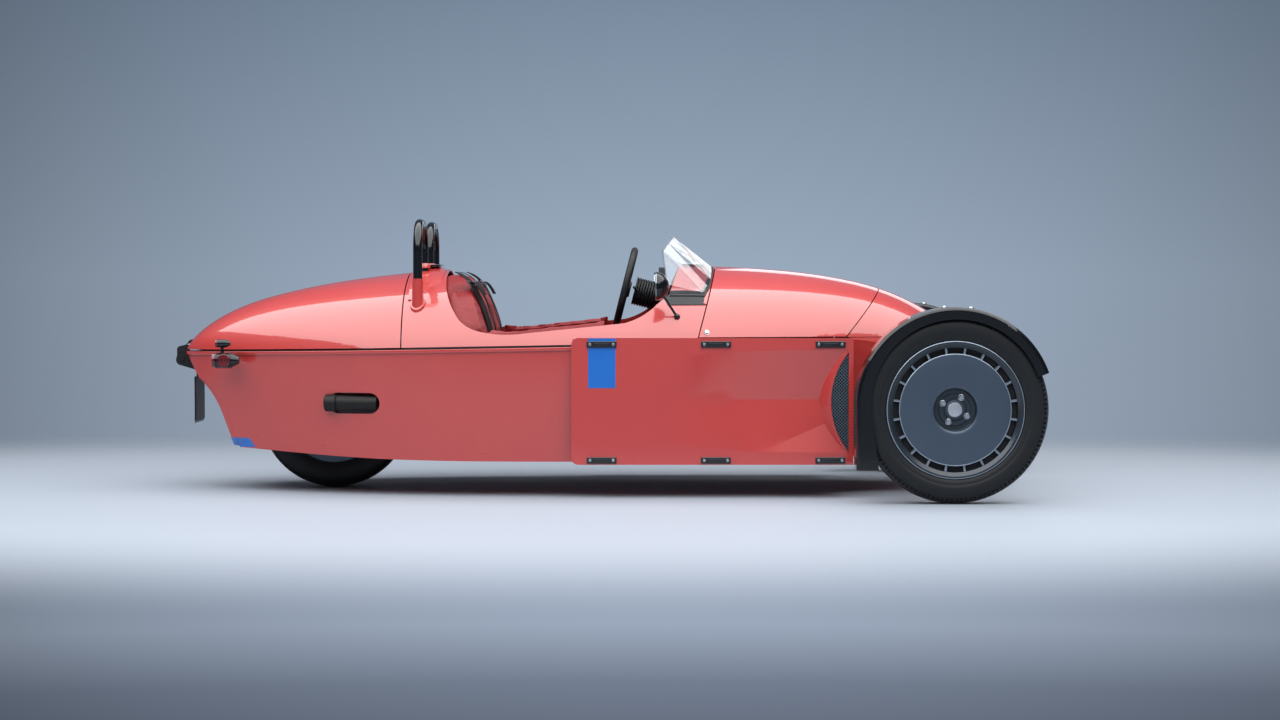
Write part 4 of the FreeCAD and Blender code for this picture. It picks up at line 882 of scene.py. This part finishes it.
# Baked powder coat on steel: satin black with a fine orange peel.
powder_coat = finish_of("black_powder_coat", "#0A0B0E", 0.45, HALF_SHINE)
mottled(powder_coat, 60, "#090A0C", "#0E1013")
pitted(powder_coat, 1.0, 0.08)
dress(powder_coat, "floor_controls", "nose_grille", "front_suspension", "swing_arm")
dress(powder_coat, "tail_brackets", "lid_strap", "screen_brackets")

# Black face under flat glass: it mirrors the sky as one clean patch.
BEZEL = [(0, 46), (7, 46), (9.5, 44), (9.5, 41), (6, 39.5), (2, 39.5)]
DIAL = [(0, 39.6), (2.5, 39.6), (4.5, 30), (5.2, 15), (5.4, 0)]
DIALS_X, DIALS_Y, DIALS_Z = 0.262, (-0.262, 0.0), 0.862
instrument_glass = finish_of("instrument_glass", "#0A0C10", 0.05, LACQUER)
pitted(instrument_glass, 60, 0.01)
bezels, dials = [], []
for y in DIALS_Y:
    for profile, pile, closed in ((BEZEL, bezels, True), (DIAL, dials, False)):
        pile.append(moved(turned(lathe(profile, 64, closed), "Z", -90), (DIALS_X, y, DIALS_Z)))
new_piece("instrument_bezels", gathered(bezels), cap_metal, "body")
new_piece("instrument_dials", gathered(dials), instrument_glass, "body")

SWITCH_SIZE, SWITCH_X, SWITCH_Z, SWITCHES_Y = (12, 20, 30), 0.222, 0.765, (-0.045, -0.015, 0.015, 0.045)
switches = []
for y in SWITCHES_Y:
    key = block(*SWITCH_SIZE)
    switches.append(moved(rounded(key, key.edges[:], 3, 3), (SWITCH_X, y, SWITCH_Z)))
new_piece("dash_switches", gathered(switches), clip_steel, "body")

# ---------------------------------------------------------------- Steering column and wheel
# Ribbed bellows round the column with a stalk on each side, and a steel hoop wrapped in black leather on
# three flat spokes with sunken panels, held to its hub by six screws.

COLUMN_AT, COLUMN_TILT = (0.120, -0.262, 0.845), 14.2


def on_column(mesh):
    """Sets a mesh that stands along -Y on the steering column, its outward side to the rear."""
    return moved(turned(turned(mesh, "Z", -90), "Y", COLUMN_TILT), COLUMN_AT)


FOLDS, FOLD_PITCH = 9, 11
BELLOWS = [(-38, 20), (-38, 52.5)]
for fold in range(FOLDS):
    start = fold * FOLD_PITCH
    BELLOWS += [(-40 - start, 57.5), (-44 - start, 58.5), (-47.5 - start, 52.6)]
BELLOWS += [(-140, 52.5), (-140, 20)]
bellows = new_piece("column_bellows", on_column(lathe(BELLOWS, 64)), grained_plastic, "body", crease=60)


STALK_X, STALK_Z, STALK_RADIUS = (0.166, 0.163, 0.156), (0.835, 0.842, 0.850), 5


def stalk(name, steps_y):
    """A round moulded stalk from the column, outward and a little up."""
    curve = bpy.data.curves.new(name, "CURVE")
    curve.dimensions, curve.bevel_depth = "3D", STALK_RADIUS * MM
    curve.bevel_resolution, curve.resolution_u = 5, 8
    curve.use_fill_caps = True
    spline = curve.splines.new("NURBS")
    spline.points.add(len(steps_y) - 1)
    for point, x, y, z in zip(spline.points, STALK_X, steps_y, STALK_Z):
        point.co = (x, y, z, 1.0)
    spline.use_endpoint_u = True
    spline.order_u = 3
    curve.materials.append(grained_plastic)
    piece = bpy.data.objects.new(name, curve)
    bpy.context.scene.collection.objects.link(piece)
    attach(piece, "body")


stalk("stalk_right", (-0.300, -0.350, -0.395))
stalk("stalk_left", (-0.224, -0.180, -0.135))

RIM_RADIUS, GRIP_RADIUS = 161.5, 14.6
GRIP_TURNS = [math.radians(degrees) for degrees in range(0, 360, 15)]
GRIP = [(GRIP_RADIUS * math.sin(turn), RIM_RADIUS + GRIP_RADIUS * math.cos(turn)) for turn in GRIP_TURNS]
rim = new_piece("steering_rim", on_column(lathe(GRIP, 96)), black_hide, "steering_wheel", crease=180)
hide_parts("steering_wheel")

SPOKE_SIZE, SPOKE_RADIUS, SPOKE_TURNS = (24, 4.5, 122), 92, (90, 270, 180)
HUB = [(-22, 0), (-22, 30), (-16, 34), (4, 34), (8, 32), (8, 26), (10, 24), (11, 18), (12, 0)]
SCREWS, SCREW_RADIUS, SCREW_SEAT = 6, 29, 8
spider_parts = []
for turn in SPOKE_TURNS:
    spoke = block(*SPOKE_SIZE)
    long_edges = [e for e in spoke.edges if abs((e.verts[0].co - e.verts[1].co).z) > 0.1]
    bmesh.ops.subdivide_edges(spoke, edges=long_edges, cuts=3)
    broad = [f for f in spoke.faces if abs(f.normal.y) > 0.9 and abs(f.calc_center_median().z) < 0.05]
    bmesh.ops.inset_individual(spoke, faces=broad, thickness=5 * MM, depth=-1.2 * MM)
    moved(spoke, (0, -4 * MM, SPOKE_RADIUS * MM))
    spider_parts.append(on_column(turned(spoke, "Y", turn)))
spider_parts.append(on_column(lathe(HUB, 64, closed=False)))
for count in range(SCREWS):
    screw = moved(bolt(7, 2.5), (0, -SCREW_SEAT * MM, SCREW_RADIUS * MM))
    spider_parts.append(on_column(turned(screw, "Y", 360 / SCREWS * count)))
spider = new_piece("steering_spider", gathered(spider_parts), powder_coat, "steering_wheel")
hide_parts("steering_wheel")

# ---------------------------------------------------------------- Roll hoops
# Two hoops of bent steel tube, lacquered gloss black, in painted sockets. A black bar lies across the
# top of the hump between them, and a bright screw shows in each inner leg.

CROSSBAR_SIZE, CROSSBAR_AT = (58, 240, 9), (-0.692, 0, 0.941)
crossbar = block(*CROSSBAR_SIZE)
moved(rounded(crossbar, crossbar.edges[:], 3, 3), CROSSBAR_AT)
new_piece("hump_crossbar", crossbar, gloss_black, "body")

HOOP_SCREWS_X, HOOP_SCREW_Y, HOOP_SCREW_Z = (-0.742, -0.714), -0.152, 1.042
screws = gathered([moved(bolt(8, 2.5), (x, HOOP_SCREW_Y, HOOP_SCREW_Z)) for x in HOOP_SCREWS_X])
new_piece("hoop_screws", both_sides(screws), bolt_steel, "body")

SOCKETS_X, SOCKETS_Y, SOCKETS_Z = -0.728, (-0.150, 0.150), 0.930
SOCKET = [(0, 20), (0, 28), (16, 26), (20, 23), (20, 20)]
sockets = [moved(turned(lathe(SOCKET, 48), "X", -90), (SOCKETS_X, y, SOCKETS_Z)) for y in SOCKETS_Y]
new_piece("inner_sockets", gathered(sockets), coral, "body")

# ---------------------------------------------------------------- Tail lamps and number plate
# Small turned lamps on short arms: red lens behind, a round red reflector on the outer face, and cast
# fins. The plate is a blank pressed sheet on a black backing, under a black cap strip.

LAMP_Y, LAMP_Z, LAMP_ENDS = -0.350, 0.548, (-1568, -1500)
REFLECTOR_X, REFLECTOR_Y = -1.536, -0.378
REFLECTOR = [(0, 27), (2.5, 27), (4, 25), (4.6, 18), (5, 0)]
FIN, FIN_PITCH = [(-1.6, 31), (-1.6, 33.5), (1.6, 33.5), (1.6, 31)], 12

# Moulded red acrylic: dark and deep, with facets 4 mm across that scatter small glints.
red_lens = finish_of("red_lens", "#5C0910", 0.12, {"Coat Weight": 0.6, "Coat Roughness": 0.05})
in_lens = add(red_lens, "ShaderNodeTexCoord").outputs["Object"]
facets = add(red_lens, "ShaderNodeTexVoronoi", {"Vector": in_lens, "Scale": 1000 / 4}, feature="F1")
facet_bump = add(red_lens, "ShaderNodeBump", {"Height": facets.outputs[0], "Distance": 0.5 * MM})
red_lens.node_tree.links.new(facet_bump.outputs[0], shader_of(red_lens).inputs["Normal"])
dress(red_lens, "tail_lenses")
reflector = moved(lathe(REFLECTOR, 48, closed=False), (REFLECTOR_X, REFLECTOR_Y, LAMP_Z))
new_piece("side_reflectors", both_sides(reflector), red_lens, "body")
fins = [
    moved(turned(lathe(FIN, 48), "Z", 90), (x * MM, LAMP_Y, LAMP_Z)) for x in range(*LAMP_ENDS, FIN_PITCH)
]
new_piece("lamp_fins", both_sides(gathered(fins)), gloss_black, "body")

# Coated aluminium sheet, bare of any letter: a flat cool grey.
plate_grey = finish_of("plate_back", "#8B9CAB", 0.5, HALF_SHINE)
mottled(plate_grey, 120, "#8394A3", "#93A4B3")
pitted(plate_grey, 3, 0.05)
dress(plate_grey, "number_plate")
HINGE_SCREW_AT = (-1.739, -0.030, 0.604)
hinge_screw = moved(turned(bolt(16, 5, sides=24), "X", -90), HINGE_SCREW_AT)
new_piece("hinge_screw", hinge_screw, bolt_steel, "body")

# ---------------------------------------------------------------- Exhausts
# Short steel pipes that come out through slots in the sides of the hull, each with a collar at its
# open end. They lean inward towards the tail, with the hull's taper.

# Heat resistant paint: matt black, a little browned in patches by the heat.
PIPE_LEAN, PIPE_END_AT = 11, (-1.062, -0.452, 0.377)
TAIL_PIPE = [(-1, 26), (-1, 33.5), (1, 35), (44, 35), (46, 33.5), (46, 26)]
pipe_black = finish_of("heat_proof_black", "#141416", 0.55, {"Metallic": 0.4})
mottled(pipe_black, 30, "#101012", "#1D1B1A")
pitted(pipe_black, 1.5, 0.1)
dress(pipe_black, "exhaust_tips")
pipe_end = moved(turned(lathe(TAIL_PIPE, 64), "Z", -90 - PIPE_LEAN), PIPE_END_AT)
new_piece("exhaust_ends", both_sides(pipe_end), pipe_black, "body")

# ---------------------------------------------------------------- Screens, mirrors and headlamps
# Two small clear screens on black brackets with broad feet, black mirror bowls on stalks, and round
# headlamps with a bright bezel, a pressed reflector and a bulb behind clear glass.

# Polished polycarbonate, also used for the lamp glass: clear, with a soft reflection across it.
CLEAR = {
    "Transmission Weight": 1.0,
    "IOR": 1.12,
    "Coat Weight": 1.0,
    "Coat Roughness": 0.12,
    "Coat IOR": 1.6,
}
clear_screen = finish_of("clear_polycarbonate", "#F4F8FA", 0.03, CLEAR)
pitted(clear_screen, 120, 0.01)
dress(clear_screen, "aero_screens", "headlamp_lenses")


FOOT_REAR, FOOT_FRONT, FOOT_LOW, FOOT_HIGH = 0.286, 0.440, 0.778, 0.819


def bracket_foot(place, normal):
    """True on the cowl's shoulders below the screens."""
    outward = place.y * normal.y > 0 and normal.z > -0.2
    return FOOT_REAR < place.x < FOOT_FRONT and abs(place.y) > 0.3 and outward


feet = thickened(skin_band("upper_cowl", FOOT_LOW, FOOT_HIGH, bracket_foot), 3.0)
new_piece("bracket_feet", feet, powder_coat, "body", crease=50)

# Silvered glass: a true mirror, so it shows whatever it faces.
MIRROR_AT = (0.2462, -0.590, 0.855)
MIRROR = [(0, 57), (1.5, 57), (2.4, 55), (3.0, 30), (3.2, 0)]
mirror_glass = finish_of("mirror_silver", "#D5DBE2", 0.03, {"Metallic": 1.0})
pitted(mirror_glass, 90, 0.01)
mirror = moved(turned(lathe(MIRROR, 64, closed=False), "Z", -90), MIRROR_AT)
new_piece("mirror_faces", both_sides(mirror), mirror_glass, "body")

# Aluminised steel with pressed ripples 9 mm across, which break its shine into bright flecks.
reflector_silver = finish_of("lamp_reflector", "#CFD4DA", 0.15, {"Metallic": 1.0})
pitted(reflector_silver, 9, 0.6)
HEADLAMP_AT = (1.546, -0.330, 0.560)
BOWL = [(4, 78), (-10, 74), (-28, 60), (-40, 40), (-46, 16), (-46, 0)]
BEZEL_RING = [(-6, 86.5), (8, 86.5), (13, 84.5), (14, 82), (12, 79.5), (0, 79.5)]
BULB = [(-46, 9), (-20, 9), (-14, 6), (-12, 0)]
for name, profile, closed, material, slot in (
    ("lamp_bowls", BOWL, False, reflector_silver, "steel"),
    ("lamp_bezels", BEZEL_RING, True, cap_metal, "cast_alloy"),
    ("lamp_bulbs", BULB, False, mirror_glass, "steel"),
):
    ring = moved(turned(lathe(profile, 72, closed), "Z", 90), HEADLAMP_AT)
    new_piece(name, both_sides(ring), material, "body")

# ---------------------------------------------------------------- Bare metal parts
# Cast aluminium uprights and frame, bolted together bare, with turned steel brake discs on the hubs. The
# engine block and the bevel box are plain masses.

# Sand cast aluminium: pale grey with a grainy satin skin.
cast_alloy = finish_of("sand_cast_aluminium", "#A5A8AD", 0.48, {"Metallic": 1.0})
mottled(cast_alloy, 40, "#95989D", "#B4B6BA")
pitted(cast_alloy, 1.6, 0.15)
dress(cast_alloy, "front_frame", "power_train", "upright_left", "upright_right", "tie_rods")
# Turned steel: rings from the tool draw its shine into a fan. Real ones are finer than 0.9 mm.
TOOL_RING_PITCH = 0.94248
brake_steel = finish_of("turned_steel", "#8E9094", 0.34, {"Metallic": 1.0})
in_disc = add(brake_steel, "ShaderNodeTexCoord").outputs["Object"]
tool_rings = add(
    brake_steel,
    "ShaderNodeTexWave",
    {"Vector": in_disc, "Scale": WAVE_LENGTH / TOOL_RING_PITCH},
    wave_type="RINGS",
    rings_direction="Y",
)
ring_bump = add(brake_steel, "ShaderNodeBump", {"Height": tool_rings.outputs["Fac"], "Distance": 0.05 * MM})
brake_steel.node_tree.links.new(ring_bump.outputs[0], shader_of(brake_steel).inputs["Normal"])
dress(brake_steel, "front_brake_disc_left", "front_brake_disc_right")
